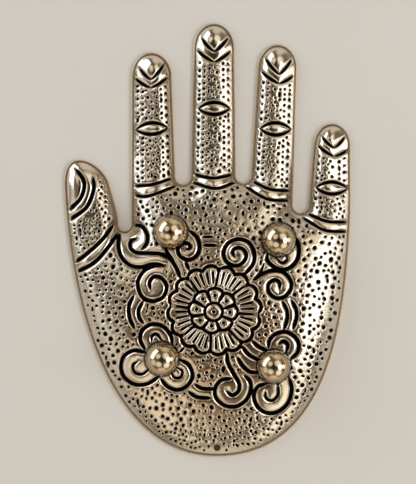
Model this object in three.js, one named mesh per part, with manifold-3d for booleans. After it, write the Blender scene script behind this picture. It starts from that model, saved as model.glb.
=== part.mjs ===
// A hand-shaped ash catcher: one pressed sheet-metal hand with four balls on its worked face,
// each ball held by a washer and a screw from the hollow side.
// Millimetres, +Z up. The hand lies on its rim with the worked face up and the fingers towards +Y.
// The origin is under the middle of the outline, on the surface that the rim rests on.

import * as THREE from "three";
import { mergeVertices } from "three/addons/utils/BufferGeometryUtils.js";
import Module from "manifold-3d";

const wasm = await Module();
wasm.setup();

// Pressed sheet
const SHEET = 1.2; // thickness of the metal
const FLANGE = 1.0; // flat border between the cut edge and the pressed wall
const EDGE_RUN = 5.8; // width of the rolled edge, from the flange to level metal
const EDGE_RISE = 2.7; // height of the rolled edge
const HOLLOW_SHIFT = 0.5; // how much further in the rolled edge starts on the hollow side
const PALM_CROWN = 9; // how much higher the middle of the palm is than the fingers
const PALM_MIDDLE = { x: 3, y: -21 }; // top of the crown, in the middle of the four balls
const PALM_REACH = { x: 50, y: 48 }; // half-axes of the crowned oval
const CROWN_RUN = 13; // how far in from the flange the crown reaches its full height
const CROWN_BLEND = 0.16; // share of the crown over which its foot runs out into the level metal

// Outline, about the middle of the hand. A finger is given by its tip, its width there, its lean in degrees,
// its length and how much its ridge is pushed to the left, as a slope across the finger. A web is the round
// at the bottom of the gap between two fingers.
const WRIST = { x: 2.9, y: -75.5 }; // lowest point of the rounded heel
const HEEL_HANDLE = { little: 41.5, thumb: 37.7 }; // how flat the heel's curve is on each side
const LITTLE_SIDE = { x: 49.85, y: 12, lean: 0.04, handle: 35.5 }; // where the palm meets the little finger
const THUMB_SIDE = { x: -50.3, y: 20, lean: 0.04, handle: 42.2 }; // where the palm meets the thumb
const TIP_LENGTH = 8.6; // length of a fingertip's rounded end
const LITTLE_FINGER = { x: 43.7, y: 40.9, width: 13, lean: 3, length: 30, push: 0.4 };
const RING_FINGER = { x: 24.6, y: 68.5, width: 13.6, lean: 3, length: 47, push: 0.15 };
const MIDDLE_FINGER = { x: 2.1, y: 75.9, width: 14.1, lean: 0.5, length: 54, push: 0.05 };
const INDEX_FINGER = { x: -19.8, y: 65.7, width: 14, lean: 0, length: 46, push: -0.25 };
const PUSH_BLEND = 12; // length at a finger's root over which the push runs out
const LITTLE_WEB = { x: 32.3, y: 12.5, radius: 2.8 };
const RING_WEB = { x: 12.3, y: 22.8, radius: 2.7 };
const MIDDLE_WEB = { x: -8.8, y: 22.4, radius: 2.75 };
const INDEX_WEB = { x: -29.2, y: 5.7, radius: 2.3 };
const THUMB_TIP = { x: -44.9, y: 28.2, roundness: 4.2 };
const THUMB_BEND = { x: -34.5, y: 19.2 }; // where the thumb's round end turns into its inner side

// Ball feet and their fixings
const BALL_DIAMETER = 11.5;
const BALL_SEAT = 5; // diameter of the flat on the ball
const UPPER_LEFT = { x: -13.1, y: 3.0 };
const UPPER_RIGHT = { x: 24.6, y: 0.2 };
const LOWER_LEFT = { x: -16.1, y: -41.3 };
const LOWER_RIGHT = { x: 22.8, y: -43.9 };
const SEAT_MARGIN = 0.6; // the sheet is flat this far beyond the washer
const SEAT_BLEND = 2.4; // width of the ring in which the flat seat runs out into the crown
const SCREW_DIAMETER = 3;
const SCREW_REACH = 5; // how far the screw goes into its ball
const HEAD_DIAMETER = 5.6;
const HEAD_HEIGHT = 2;
const SLOT = { width: 0.8, depth: 0.9 };
const WASHER_DIAMETER = 7;
const WASHER_THICKNESS = 0.5;
const FIT = 0.15; // gap all round the screw in its holes
const DRILL_SPARE = 0.8; // the ball is drilled this much deeper than the screw reaches

// Hole for the stick, through the rolled edge at the heel
const STICK_HOLE = { x: 3.1, y: -72.4, diameter: 2.1 };

// Chased lines of the worked face
const CUT_WIDTH = 1.4; // width at the face
const CUT_DEPTH = 0.5;
const CUT_PROFILE = [[0, -1], [-1, 1], [0, 3], [1, 1]]; // in widths and depths: a vee, closed over the face
const CUT_CLEAR = 1.2; // a cut stops this far short of the flange and of a ball's seat
// Scrolls on the palm and lines on the thumb, about the middle of the hand as the outline is
const SCROLLS = {
  thumbScrollHood: [[-25.9, 5.4], [-23.1, 4.9], [-21.2, 2], [-21.4, -0.9], [-23.1, -3.1]],
  thumbScrollCurl: [
    [-25.1, 0.7], [-27, -0.3], [-27, -2.6], [-24.9, -4.2], [-20.4, -4.4], [-16.4, -4.7],
    [-13.3, -6.3], [-11, -9.6], [-9.7, -13],
  ],
  thumbScrollBack: [
    [-30.9, 2.3], [-31.3, -1.6], [-30.2, -5.7], [-27, -8.7], [-23.2, -9.2], [-19.1, -8.2], [-15.1, -8.8],
  ],
  upperLeftScroll: [
    [-6.3, 3.3], [-3.9, 1.1], [-3, -2], [-4, -5.2], [-6.8, -6.7], [-9.5, -5.6], [-10.5, -3.6],
    [-10, -1.6], [-8.4, -0.9], [-6.6, -1.2], [-6.3, -2.5], [-7.5, -3],
  ],
  upperRightSpiral: [
    [12.6, -11.8], [15.5, -8.5], [16.2, -4.7], [14.4, -0.9], [10.8, 0.5], [7.3, -0.7], [5.4, -4],
    [6.5, -7.4], [9.7, -8.8], [12.4, -7.4], [13.3, -4.9], [12, -2.9], [9.7, -2.6], [8.5, -4],
    [9.2, -5.6],
  ],
  upperRightScroll: [
    [30.9, 0.6], [31.6, -3.4], [30.6, -7.4], [27.4, -9.9], [23.6, -9.5], [20.7, -6.9], [20.7, -4.7],
  ],
  rightSpiral: [
    [15.8, -13.7], [18.9, -11.6], [22.4, -10.4], [26.2, -11.1], [28.7, -13.8], [28.8, -17], [26.7, -19.5],
    [23.6, -20], [21.2, -18], [21, -15.4], [22.9, -13.7], [24.8, -14.5], [24.9, -16.7],
  ],
  rightArcInner: [[25.9, -21.2], [27.4, -24.3], [27.5, -27.5], [26.5, -30.8]],
  rightArcOuter: [[29.1, -20.9], [30.6, -23.9], [30.8, -27], [29.7, -30.7]],
  lowerRightHood: [
    [21, -37.3], [21.5, -34.6], [23.6, -32.5], [26.9, -31.8], [30.1, -33.4], [31.6, -36.2], [31.1, -39.1],
    [28.9, -41.1],
  ],
  leafStemUpper: [[15.5, -35], [17.5, -36.9], [20.7, -38.4]],
  leafStemMiddle: [[11.8, -36.8], [14.2, -39.7], [18, -41.8]],
  leafStemLower: [[10.3, -40.8], [12, -43.5], [14.4, -45.6], [17.5, -46]],
  lowerMiddleStem: [
    [6.6, -39.1], [6.9, -42.4], [8.8, -46.2], [10.8, -49.8], [10.6, -52.5], [8.4, -53.9], [6.5, -52.5],
  ],
  lowerMiddleScroll: [
    [8.2, -48], [4.7, -48.6], [2.5, -51.4], [2.8, -54.9], [5.8, -57.5], [9.8, -57.8], [13.2, -55.7],
    [14.9, -52], [14.6, -49], [12.9, -47],
  ],
  lowerRightSpiral: [
    [28.3, -48.2], [29.2, -52], [27.8, -56.8], [24.2, -59.8], [20.1, -60], [16.9, -57.4], [16, -53.8],
    [17.4, -50.9], [20.4, -49.9],
  ],
  lowerLeftTop: [
    [-22, -37.9], [-23.7, -34.4], [-22.6, -31], [-19.2, -29.1], [-15.4, -30.1], [-13, -33.1],
    [-12.5, -36],
  ],
  lowerLeftSide: [
    [-21.9, -38.9], [-25.7, -38.3], [-29.2, -40.2], [-30.4, -43.8], [-29.2, -47.7], [-25.4, -50.2],
    [-21.1, -49.9], [-17.3, -47.5],
  ],
  lowerLeftUnder: [
    [-9.7, -41.5], [-6.8, -43.3], [-5.4, -47], [-7.1, -50.4], [-10.6, -52], [-14.1, -50.9],
    [-16.5, -48.2],
  ],
  lowerArcInner: [[-4.6, -50.2], [-2.1, -51.5], [2.1, -51.7]],
  lowerArcOuter: [[-6.8, -52.7], [-3.9, -54.5], [0.8, -54.9]],
  leftSpiral: [
    [-15.3, -8.6], [-18.6, -8.8], [-22.4, -10.7], [-24.5, -14.7], [-23.1, -19.4], [-19.5, -21.1],
    [-15.7, -19.7], [-14.4, -16], [-16.2, -13.1], [-18.8, -12.6], [-20.4, -14.5], [-20.1, -16.8],
  ],
  leftArcOuter: [[-26, -19.2], [-27.6, -23], [-27.3, -27], [-25.7, -30.6]],
  leftArcInner: [[-22.7, -21.2], [-24.2, -24.3], [-24, -26.8], [-22.6, -28.8]],
  thumbNailInner: [[-46.1, 24.8], [-43.5, 21.2], [-43.4, 17.7], [-45, 14.1], [-48.9, 10.4]],
  thumbNailOuter: [[-40.1, 21.8], [-40, 17.6], [-42.5, 11.6], [-48.5, 7.1]],
  thumbBaseUpper: [[-33.3, 5.2], [-36.9, 0.4], [-42.1, -4.4], [-46.5, -7.7]],
  thumbBaseLower: [[-31.8, 2.2], [-35.1, -2.6], [-39.9, -7.8], [-45.9, -11]],
};
// Marks on the fingers. A place is how far to the right of the finger's middle line and how far below its tip
// it lies. A chevron under the nail is two strokes, the lens of the knuckle two arcs, a ring one arc.
const FINGER_MARKS = [
  {
    finger: INDEX_FINGER,
    chevrons: [[[-4.1, 5.3], [-0.1, 9.6], [4.7, 3.5]], [[-5.9, 8.7], [-0.2, 12.4], [5.7, 8.5]]],
    lens: { left: [-5.5, 26.9], right: [5.8, 26.3], bow: 2 },
    rings: [[[-6.3, 46.7], [0.2, 46.2], [6.6, 44.2]], [[-6.3, 49.8], [-1.2, 50.2], [8, 46.9]]],
  },
  {
    finger: MIDDLE_FINGER,
    chevrons: [[[-4.4, 4.9], [0.1, 10], [4.9, 4.9]], [[-5.8, 9.4], [0.1, 13.6], [6.1, 9.4]]],
    lens: { left: [-5.4, 29.8], right: [5.9, 29.6], bow: 2.1 },
    rings: [[[-7, 52.8], [-0.1, 54.1], [6.7, 52.8]], [[-7, 55.7], [1.1, 57.7], [8.1, 55.3]]],
  },
  {
    finger: RING_FINGER,
    chevrons: [[[-4.3, 5], [0.7, 10.5], [5, 4.5]], [[-5.5, 9.6], [0.9, 13.7], [5.9, 10.3]]],
    lens: { left: [-5, 29.7], right: [6, 29.3], bow: 2.15 },
    rings: [[[-6.5, 48.2], [-0.4, 50.7], [6.3, 50.8]], [[-8.8, 50.2], [-1.3, 54], [6.5, 54.3]]],
  },
  {
    finger: LITTLE_FINGER,
    chevrons: [[[-3.7, 4.7], [0.7, 8.5], [4.3, 4.3]], [[-5.1, 7.8], [0.9, 11.5], [5.6, 8.7]]],
    lens: { left: [-4.9, 22.7], right: [6.4, 22.4], bow: 2.1 },
    rings: [[[-6.6, 32.2], [-0.4, 34.3], [6.4, 34.2]], [[-8.5, 33.6], [-1.3, 37.3], [6.2, 37.5]]],
  },
];
const CHEVRON_BOW = -0.7;
// The flower in the palm: lobed outline, scalloped ring of seeds, button in the middle, not quite concentric
const ROSETTE = { turn: -6, petals: 8 };
const PETAL_EDGE = { x: 2.2, y: -24.25, radius: 14.4, lobe: 1.6, lobePower: 0.6 };
const SEED_EDGE = { x: 1.8, y: -24.4, radius: 7.4, lobe: 0.75, lobePower: 0.7 };
const BUTTON_EDGE = { x: 1.9, y: -24.8, radius: 3.1, lobe: 0, lobePower: 1 };

// How finely curves are divided
const OUTLINE_STEP = 4.2;
const TURN_STEP = Math.PI / 7;
const CROWN_PITCH = 5.2;
const HOLLOW_PITCH = 9;
const EDGE_SHARES = [0, 0.25, 0.6, 0.9];
const HOLLOW_SHARES = [0, 0.45, 1];
const ROUND_SIDES = 18;
const HOLE_SIDES = 14;
const BALL_RINGS = 8;
const CUT_PROBE = 0.4; // how closely a cut line is followed before it is thinned
const CUT_STEP = 8;
const CUT_SWAY = 0.42; // how far a straight stretch of a cut may leave its line
const CUT_SAG = 0.12; // how far it may leave the crowned face

// Metals
const plateMetal = new THREE.MeshStandardMaterial({ color: 0xb5a78c, roughness: 0.32, metalness: 1 });
const ballMetal = new THREE.MeshStandardMaterial({ color: 0xc2b190, roughness: 0.1, metalness: 1 });
const fixingMetal = new THREE.MeshStandardMaterial({ color: 0xa98f55, roughness: 0.35, metalness: 1 });

// Solids from closed geometries and back, for joining and cutting
function toSolid(geometry) {
  const bare = geometry.clone();
  bare.deleteAttribute("normal");
  bare.deleteAttribute("uv");
  const merged = mergeVertices(bare, 1e-4);
  const vertProperties = new Float32Array(merged.attributes.position.array);
  const triVerts = new Uint32Array(merged.index.array);
  return new wasm.Manifold(new wasm.Mesh({ numProp: 3, vertProperties, triVerts }));
}

function toGeometry(solid) {
  const mesh = solid.getMesh();
  const geometry = new THREE.BufferGeometry();
  geometry.setAttribute("position", new THREE.BufferAttribute(mesh.vertProperties, 3));
  geometry.setIndex(new THREE.BufferAttribute(mesh.triVerts, 1));
  geometry.computeVertexNormals();
  return geometry;
}

// A solid of revolution about Z from [radius, height] pairs, drawn with the metal on the left
function turned(profile, sides) {
  const points = profile.map(([radius, height]) => new THREE.Vector2(radius, height));
  return new THREE.LatheGeometry(points, sides).rotateX(Math.PI / 2);
}

// Each finger with the web on its left
const FINGERS = [
  [LITTLE_FINGER, LITTLE_WEB],
  [RING_FINGER, RING_WEB],
  [MIDDLE_FINGER, MIDDLE_WEB],
  [INDEX_FINGER, INDEX_WEB],
];

// The outline, counterclockwise from the heel: little finger, ring, middle, index, thumb
function handOutline() {
  const outline = new THREE.Path();
  outline.moveTo(WRIST.x, WRIST.y);
  outline.bezierCurveTo(
    WRIST.x + HEEL_HANDLE.little,
    WRIST.y,
    LITTLE_SIDE.x - LITTLE_SIDE.lean * LITTLE_SIDE.handle,
    LITTLE_SIDE.y - LITTLE_SIDE.handle,
    LITTLE_SIDE.x,
    LITTLE_SIDE.y,
  );
  for (const [finger, web] of FINGERS) {
    const lean = THREE.MathUtils.degToRad(finger.lean);
    const x = finger.x - TIP_LENGTH * Math.sin(lean);
    const y = finger.y - TIP_LENGTH * Math.cos(lean);
    outline.absellipse(x, y, finger.width / 2, TIP_LENGTH, 0, Math.PI, false, -lean);
    outline.absarc(web.x, web.y, web.radius, 0, -Math.PI, true);
  }
  const root = outline.currentPoint.clone();
  const run = new THREE.Vector2(THUMB_BEND.x - root.x, THUMB_BEND.y - root.y).multiplyScalar(1 / 3);
  const slant = run.x / 3;
  outline.bezierCurveTo(
    root.x,
    root.y + run.y,
    THUMB_BEND.x - slant,
    THUMB_BEND.y - run.y,
    THUMB_BEND.x,
    THUMB_BEND.y,
  );
  outline.bezierCurveTo(
    THUMB_BEND.x + slant,
    THUMB_BEND.y + run.y,
    THUMB_TIP.x + THUMB_TIP.roundness,
    THUMB_TIP.y,
    THUMB_TIP.x,
    THUMB_TIP.y,
  );
  outline.bezierCurveTo(
    THUMB_TIP.x - THUMB_TIP.roundness,
    THUMB_TIP.y,
    THUMB_SIDE.x,
    THUMB_SIDE.y + THUMB_TIP.roundness,
    THUMB_SIDE.x,
    THUMB_SIDE.y,
  );
  outline.bezierCurveTo(
    THUMB_SIDE.x + THUMB_SIDE.lean * THUMB_SIDE.handle,
    THUMB_SIDE.y - THUMB_SIDE.handle,
    WRIST.x - HEEL_HANDLE.thumb,
    WRIST.y,
    WRIST.x,
    WRIST.y,
  );
  return outline.curves.flatMap(dividedCurve);
}

// A curve's points without its last one, closer together where it turns sharply
function dividedCurve(curve) {
  const probes = 32;
  let turn = 0;
  for (let i = 0; i < probes; i++) {
    const here = curve.getTangent(i / probes);
    turn += Math.acos(Math.min(1, here.dot(curve.getTangent((i + 1) / probes))));
  }
  const steps = Math.max(Math.ceil(curve.getLength() / OUTLINE_STEP), Math.ceil(turn / TURN_STEP));
  return curve.getSpacedPoints(steps).slice(0, -1);
}

const outline = handOutline();

function edgeDistance(point) {
  let nearest = Infinity;
  outline.forEach((start, i) => {
    const end = outline[(i + 1) % outline.length];
    const along = end.clone().sub(start);
    const share = THREE.MathUtils.clamp(point.clone().sub(start).dot(along) / along.lengthSq(), 0, 1);
    nearest = Math.min(nearest, point.distanceTo(start.clone().addScaledVector(along, share)));
  });
  return nearest;
}

function isInside(point) {
  let inside = false;
  outline.forEach((start, i) => {
    const end = outline[(i + 1) % outline.length];
    if (start.y > point.y === end.y > point.y) return;
    const share = (point.y - start.y) / (end.y - start.y);
    if (point.x < THREE.MathUtils.lerp(start.x, end.x, share)) inside = !inside;
  });
  return inside;
}

// Rises from 0 to 1 and levels out
function rounded(share) {
  return 1 - (1 - THREE.MathUtils.clamp(share, 0, 1)) ** 2;
}

// Height of the crown over the level of the fingers
function plainCrown(point) {
  const rest = 1 - point.clone().sub(PALM_MIDDLE).divide(PALM_REACH).lengthSq();
  return (PALM_CROWN * (rest + Math.hypot(rest, CROWN_BLEND))) / 2;
}

// How much a finger is higher on one side of its middle line, because its ridge is pushed aside
function ridgePush(point) {
  return FINGERS.reduce((sum, [finger]) => {
    const lean = THREE.MathUtils.degToRad(finger.lean);
    const away = point.clone().sub(finger).rotateAround(new THREE.Vector2(), lean);
    const onFinger = Math.abs(away.x) < finger.width / 2 + FLANGE;
    const share = THREE.MathUtils.smoothstep(finger.length + away.y, 0, PUSH_BLEND);
    return onFinger ? sum - finger.push * away.x * share : sum;
  }, 0);
}

// Height of the pressed sheet over its flange, at a distance in from the cut edge
function plainHeight(point, inset, start, run) {
  const roll = rounded((inset - start) / run);
  const dome = rounded((inset - start) / CROWN_RUN);
  return roll * (EDGE_RISE + ridgePush(point)) + dome * plainCrown(point);
}

const SEAT_RADIUS = Math.max(WASHER_DIAMETER, BALL_SEAT) / 2 + SEAT_MARGIN;
const seats = [
  ["upper_left", UPPER_LEFT],
  ["upper_right", UPPER_RIGHT],
  ["lower_left", LOWER_LEFT],
  ["lower_right", LOWER_RIGHT],
].map(([name, { x, y }]) => {
  const place = new THREE.Vector2(x, y);
  return { name, place, height: plainHeight(place, edgeDistance(place), FLANGE, EDGE_RUN) };
});

// The same with a flat seat under each ball
function pressedHeight(point, inset, start, run) {
  return seats.reduce((height, seat) => {
    const share = (point.distanceTo(seat.place) - SEAT_RADIUS) / SEAT_BLEND;
    return THREE.MathUtils.lerp(seat.height, height, THREE.MathUtils.smoothstep(share, 0, 1));
  }, plainHeight(point, inset, start, run));
}

// Delaunay triangles of scattered points, by adding one point at a time.
// A point that is on a triangle's circle, as near as makes no difference, counts as outside it.
function delaunay(points) {
  const touching = 1e-7;
  const far = 1e4;
  const count = points.length;
  const all = [...points, { x: -far, y: -far }, { x: far, y: -far }, { x: 0, y: far }];
  const withCircle = (a, b, c) => {
    const [bx, by] = [all[b].x - all[a].x, all[b].y - all[a].y];
    const [cx, cy] = [all[c].x - all[a].x, all[c].y - all[a].y];
    const twice = 2 * (bx * cy - by * cx);
    const x = (cy * (bx * bx + by * by) - by * (cx * cx + cy * cy)) / twice;
    const y = (bx * (cx * cx + cy * cy) - cx * (bx * bx + by * by)) / twice;
    return { corners: [a, b, c], x: all[a].x + x, y: all[a].y + y, radius: Math.hypot(x, y) };
  };
  let triangles = [withCircle(count, count + 1, count + 2)];
  points.forEach((point, i) => {
    const rim = new Map();
    triangles = triangles.filter((triangle) => {
      if (Math.hypot(point.x - triangle.x, point.y - triangle.y) > triangle.radius - touching) return true;
      const [a, b, c] = triangle.corners;
      for (const [from, to] of [[a, b], [b, c], [c, a]]) {
        if (!rim.delete(`${to} ${from}`)) rim.set(`${from} ${to}`, [from, to]);
      }
      return false;
    });
    for (const [from, to] of rim.values()) triangles.push(withCircle(from, to, i));
  });
  return triangles.map((triangle) => triangle.corners).filter((corners) => Math.max(...corners) < count);
}

// One face of the sheet: rings that follow the outline, then a lattice over the level metal.
// Each point has its place and its height over the flange.
function sheetPoints(start, run, shares, pitch) {
  const closest = 0.15 * OUTLINE_STEP;
  const points = outline.map((place) => ({ place, height: 0 }));
  const add = (place, inset) => {
    if (points.some((other) => other.place.distanceTo(place) <= closest)) return;
    points.push({ place, height: pressedHeight(place, inset, start, run) });
  };
  for (const share of shares) {
    const inset = start + run * share;
    outline.forEach((corner, i) => {
      const before = outline.at(i - 1);
      const along = outline[(i + 1) % outline.length].clone().sub(before).normalize();
      const place = corner.clone().add(new THREE.Vector2(-along.y, along.x).multiplyScalar(inset));
      const reached = isInside(place) && edgeDistance(place) > inset - 0.05;
      if (reached) add(place, inset);
    });
  }
  for (const seat of seats) {
    add(seat.place, edgeDistance(seat.place));
    for (const radius of [SEAT_RADIUS, SEAT_RADIUS + SEAT_BLEND / 2, SEAT_RADIUS + SEAT_BLEND]) {
      for (let i = 0; i < HOLE_SIDES; i++) {
        const turn = (2 * Math.PI * i) / HOLE_SIDES;
        const spoke = new THREE.Vector2(Math.cos(turn), Math.sin(turn)).multiplyScalar(radius);
        const place = seat.place.clone().add(spoke);
        add(place, edgeDistance(place));
      }
    }
  }
  const box = new THREE.Box2().setFromPoints(outline);
  const rowPitch = pitch * Math.sin(Math.PI / 3);
  for (let row = 0; box.min.y + row * rowPitch < box.max.y; row++) {
    const indent = (row % 2) * (pitch / 2);
    for (let x = box.min.x + indent; x < box.max.x; x += pitch) {
      const place = new THREE.Vector2(x, box.min.y + row * rowPitch);
      const clear = seats.every((seat) => place.distanceTo(seat.place) > SEAT_RADIUS + SEAT_BLEND);
      const inset = isInside(place) ? edgeDistance(place) : 0;
      if (clear && inset > start + run + pitch / 2) add(place, inset);
    }
  }
  return points;
}

function sheetTriangles(points) {
  return delaunay(points.map(({ place }) => place)).filter((corners) => {
    const middle = new THREE.Vector2();
    corners.forEach((corner) => middle.addScaledVector(points[corner].place, 1 / 3));
    return isInside(middle);
  });
}

// The stretches of a line that keep clear of the edge and of the balls' seats
function clearStretches(points) {
  const stretches = [[]];
  for (const point of points) {
    const offSeats = seats.every((seat) => point.distanceTo(seat.place) > SEAT_RADIUS + CUT_CLEAR);
    const clear = offSeats && isInside(point) && edgeDistance(point) > FLANGE + CUT_CLEAR;
    if (clear) stretches.at(-1).push(point);
    else if (stretches.at(-1).length) stretches.push([]);
  }
  return stretches.filter((stretch) => stretch.length * CUT_PROBE > CUT_WIDTH);
}

// Height of the worked face over the surface that the rim rests on
function faceHeight(place) {
  return SHEET + pressedHeight(place, edgeDistance(place), FLANGE, EDGE_RUN);
}

// The same line with few points: one wherever a straight cut would leave the line or the crowned face too far
function thinned(points) {
  const heights = points.map(faceHeight);
  const kept = [points[0]];
  let run = 0;
  let turn = 0;
  let bend = 0;
  for (let i = 1; i < points.length - 1; i++) {
    const here = points[i].clone().sub(points[i - 1]);
    const next = points[i + 1].clone().sub(points[i]);
    const climb = (heights[i] - heights[i - 1]) / here.length();
    const nextClimb = (heights[i + 1] - heights[i]) / next.length();
    run += here.length();
    turn += Math.abs(Math.atan2(here.cross(next), here.dot(next)));
    bend += Math.abs(nextClimb - climb);
    const straight = (run * turn) / 8 < CUT_SWAY && (run * bend) / 8 < CUT_SAG;
    if (run < CUT_STEP && straight) continue;
    kept.push(points[i]);
    run = 0;
    turn = 0;
    bend = 0;
  }
  return [...kept, points.at(-1)];
}

function followed(curve) {
  return curve.getSpacedPoints(Math.ceil(curve.getLength() / CUT_PROBE));
}

function smoothLine(points) {
  return followed(new THREE.SplineCurve(points));
}

// An arc that stands out to the left of its chord by its bow
function bowedLine(start, end, bow) {
  const chord = end.clone().sub(start);
  const out = new THREE.Vector2(-chord.y, chord.x).setLength(2 * bow);
  return followed(new THREE.QuadraticBezierCurve(start, start.clone().lerp(end, 0.5).add(out), end));
}

function toPoint([x, y]) {
  return new THREE.Vector2(x, y);
}

// The chevrons, lens and rings of one finger
function fingerLines({ finger, chevrons, lens, rings }) {
  const lean = THREE.MathUtils.degToRad(finger.lean);
  const tip = toPoint([finger.x, finger.y]);
  const onFinger = ([aside, below]) => toPoint([aside, -below]).add(tip).rotateAround(tip, -lean);
  const lines = rings.map((ring) => smoothLine(ring.map(onFinger)));
  for (const chevron of chevrons) {
    const [left, point, right] = chevron.map(onFinger);
    lines.push(bowedLine(left, point, CHEVRON_BOW), bowedLine(point, right, CHEVRON_BOW));
  }
  const [left, right] = [lens.left, lens.right].map(onFinger);
  lines.push(bowedLine(left, right, lens.bow), bowedLine(left, right, -lens.bow));
  return lines;
}

function roundPoint({ x, y }, radius, turn) {
  return new THREE.Vector2(x + radius * Math.cos(turn), y + radius * Math.sin(turn));
}

// A closed line of the rosette, a few points to each lobe
function lobedLine(edge, lobes, phase) {
  const points = [];
  const perLobe = 3;
  const first = THREE.MathUtils.degToRad(ROSETTE.turn);
  for (let i = 0; i < lobes * perLobe; i++) {
    const turn = (2 * Math.PI * i) / (lobes * perLobe);
    const bulge = Math.abs(Math.sin((lobes * turn) / 2 + phase)) ** edge.lobePower;
    points.push(roundPoint(edge, edge.radius + edge.lobe * bulge, first + turn));
  }
  return { points, closed: true };
}

// The rosette: three closed lines, a line between each two petals and one between each two seeds
function rosetteLines() {
  const { petals } = ROSETTE;
  const lines = [lobedLine(PETAL_EDGE, 2 * petals, 0), lobedLine(SEED_EDGE, petals, Math.PI / 2)];
  lines.push(lobedLine(BUTTON_EDGE, petals / 2, 0));
  for (let i = 0; i < petals; i++) {
    const turn = THREE.MathUtils.degToRad(ROSETTE.turn) + (2 * Math.PI * i) / petals;
    const between = turn + Math.PI / petals;
    const seedTop = roundPoint(SEED_EDGE, SEED_EDGE.radius + SEED_EDGE.lobe, turn);
    const seedSide = roundPoint(SEED_EDGE, SEED_EDGE.radius, between);
    lines.push({ points: [seedTop, roundPoint(PETAL_EDGE, PETAL_EDGE.radius, turn)], closed: false });
    lines.push({ points: [roundPoint(BUTTON_EDGE, BUTTON_EDGE.radius, between), seedSide], closed: false });
  }
  return lines;
}

// All the main chased lines, each with its points and whether it is closed
function chasedLines() {
  const scrolls = Object.values(SCROLLS).map((points) => smoothLine(points.map(toPoint)));
  const stretches = [...scrolls, ...FINGER_MARKS.flatMap(fingerLines)].flatMap(clearStretches);
  return [...stretches.map((points) => ({ points: thinned(points), closed: false })), ...rosetteLines()];
}

// A cutter for one chased line: its profile, carried along the line at the height of the worked face
function cutter({ points, closed }) {
  const count = points.length;
  const sides = CUT_PROFILE.length;
  const corners = [];
  points.forEach((place, i) => {
    const before = points[closed ? (i + count - 1) % count : Math.max(i - 1, 0)];
    const after = points[closed ? (i + 1) % count : Math.min(i + 1, count - 1)];
    const along = after.clone().sub(before).normalize();
    const aside = new THREE.Vector2(-along.y, along.x);
    for (const [reach, lift] of CUT_PROFILE) {
      const corner = place.clone().addScaledVector(aside, reach * CUT_WIDTH);
      corners.push(corner.x, corner.y, faceHeight(corner) + lift * CUT_DEPTH);
    }
  });
  const indices = [];
  for (let i = 0; i < (closed ? count : count - 1); i++) {
    const [here, next] = [sides * i, sides * ((i + 1) % count)];
    for (let k = 0; k < sides; k++) {
      const l = (k + 1) % sides;
      indices.push(here + k, next + k, next + l, here + k, next + l, here + l);
    }
  }
  const last = sides * (count - 1);
  for (let k = 1; k < sides - 1 && !closed; k++) indices.push(0, k, k + 1, last, last + k + 1, last + k);
  const geometry = new THREE.BufferGeometry();
  geometry.setAttribute("position", new THREE.Float32BufferAttribute(corners, 3));
  return geometry.setIndex(indices);
}

// The hand: worked face, hollow face and the cut edge between them, then the holes and the chased lines
function handPlate() {
  const worked = sheetPoints(FLANGE, EDGE_RUN, EDGE_SHARES, CROWN_PITCH);
  const hollowRun = EDGE_RUN - HOLLOW_SHIFT;
  const hollow = sheetPoints(FLANGE + HOLLOW_SHIFT, hollowRun, HOLLOW_SHARES, HOLLOW_PITCH);
  const positions = [];
  hollow.forEach(({ place, height }) => positions.push(place.x, place.y, height));
  worked.forEach(({ place, height }) => positions.push(place.x, place.y, SHEET + height));
  const indices = [];
  sheetTriangles(hollow).forEach(([a, b, c]) => indices.push(a, c, b));
  sheetTriangles(worked).forEach((corners) => {
    indices.push(...corners.map((corner) => corner + hollow.length));
  });
  outline.forEach((_, i) => {
    const next = (i + 1) % outline.length;
    indices.push(i, next, next + hollow.length, i, next + hollow.length, i + hollow.length);
  });
  const geometry = new THREE.BufferGeometry();
  geometry.setAttribute("position", new THREE.Float32BufferAttribute(positions, 3));
  geometry.setIndex(indices);

  const drills = seats.map(({ place }) => drill(place, SCREW_DIAMETER / 2 + FIT));
  drills.push(drill(STICK_HOLE, STICK_HOLE.diameter / 2));
  const chasing = wasm.Manifold.union(chasedLines().map((line) => toSolid(cutter(line))));
  return toGeometry([...drills, chasing].reduce((plate, bit) => plate.subtract(bit), toSolid(geometry)));
}

// An upright drill, taller than the hand
function drill(place, radius) {
  const length = 4 * (SHEET + EDGE_RISE + PALM_CROWN);
  const bit = new THREE.CylinderGeometry(radius, radius, length, HOLE_SIDES).rotateX(Math.PI / 2);
  return toSolid(bit.translate(place.x, place.y, 0));
}

// A ball with a flat on its seat and a blind hole for its screw, standing on z = 0
function ballFoot() {
  const radius = BALL_DIAMETER / 2;
  const middle = Math.sqrt(radius ** 2 - (BALL_SEAT / 2) ** 2);
  const bore = SCREW_DIAMETER / 2 + FIT;
  const bottom = SCREW_REACH + DRILL_SPARE;
  const profile = [[0, bottom], [bore, bottom], [bore, 0]];
  const first = Math.asin(middle / radius);
  for (let i = 0; i < BALL_RINGS; i++) {
    const tilt = -first + ((first + Math.PI / 2) * i) / BALL_RINGS;
    profile.push([radius * Math.cos(tilt), middle + radius * Math.sin(tilt)]);
  }
  profile.push([0, middle + radius]);
  return turned(profile, ROUND_SIDES);
}

// A flat washer, hanging from z = 0
function washer() {
  const hole = SCREW_DIAMETER / 2 + FIT;
  const edge = WASHER_DIAMETER / 2;
  const under = -WASHER_THICKNESS;
  return turned([[hole, under], [edge, under], [edge, 0], [hole, 0], [hole, under]], ROUND_SIDES);
}

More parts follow.
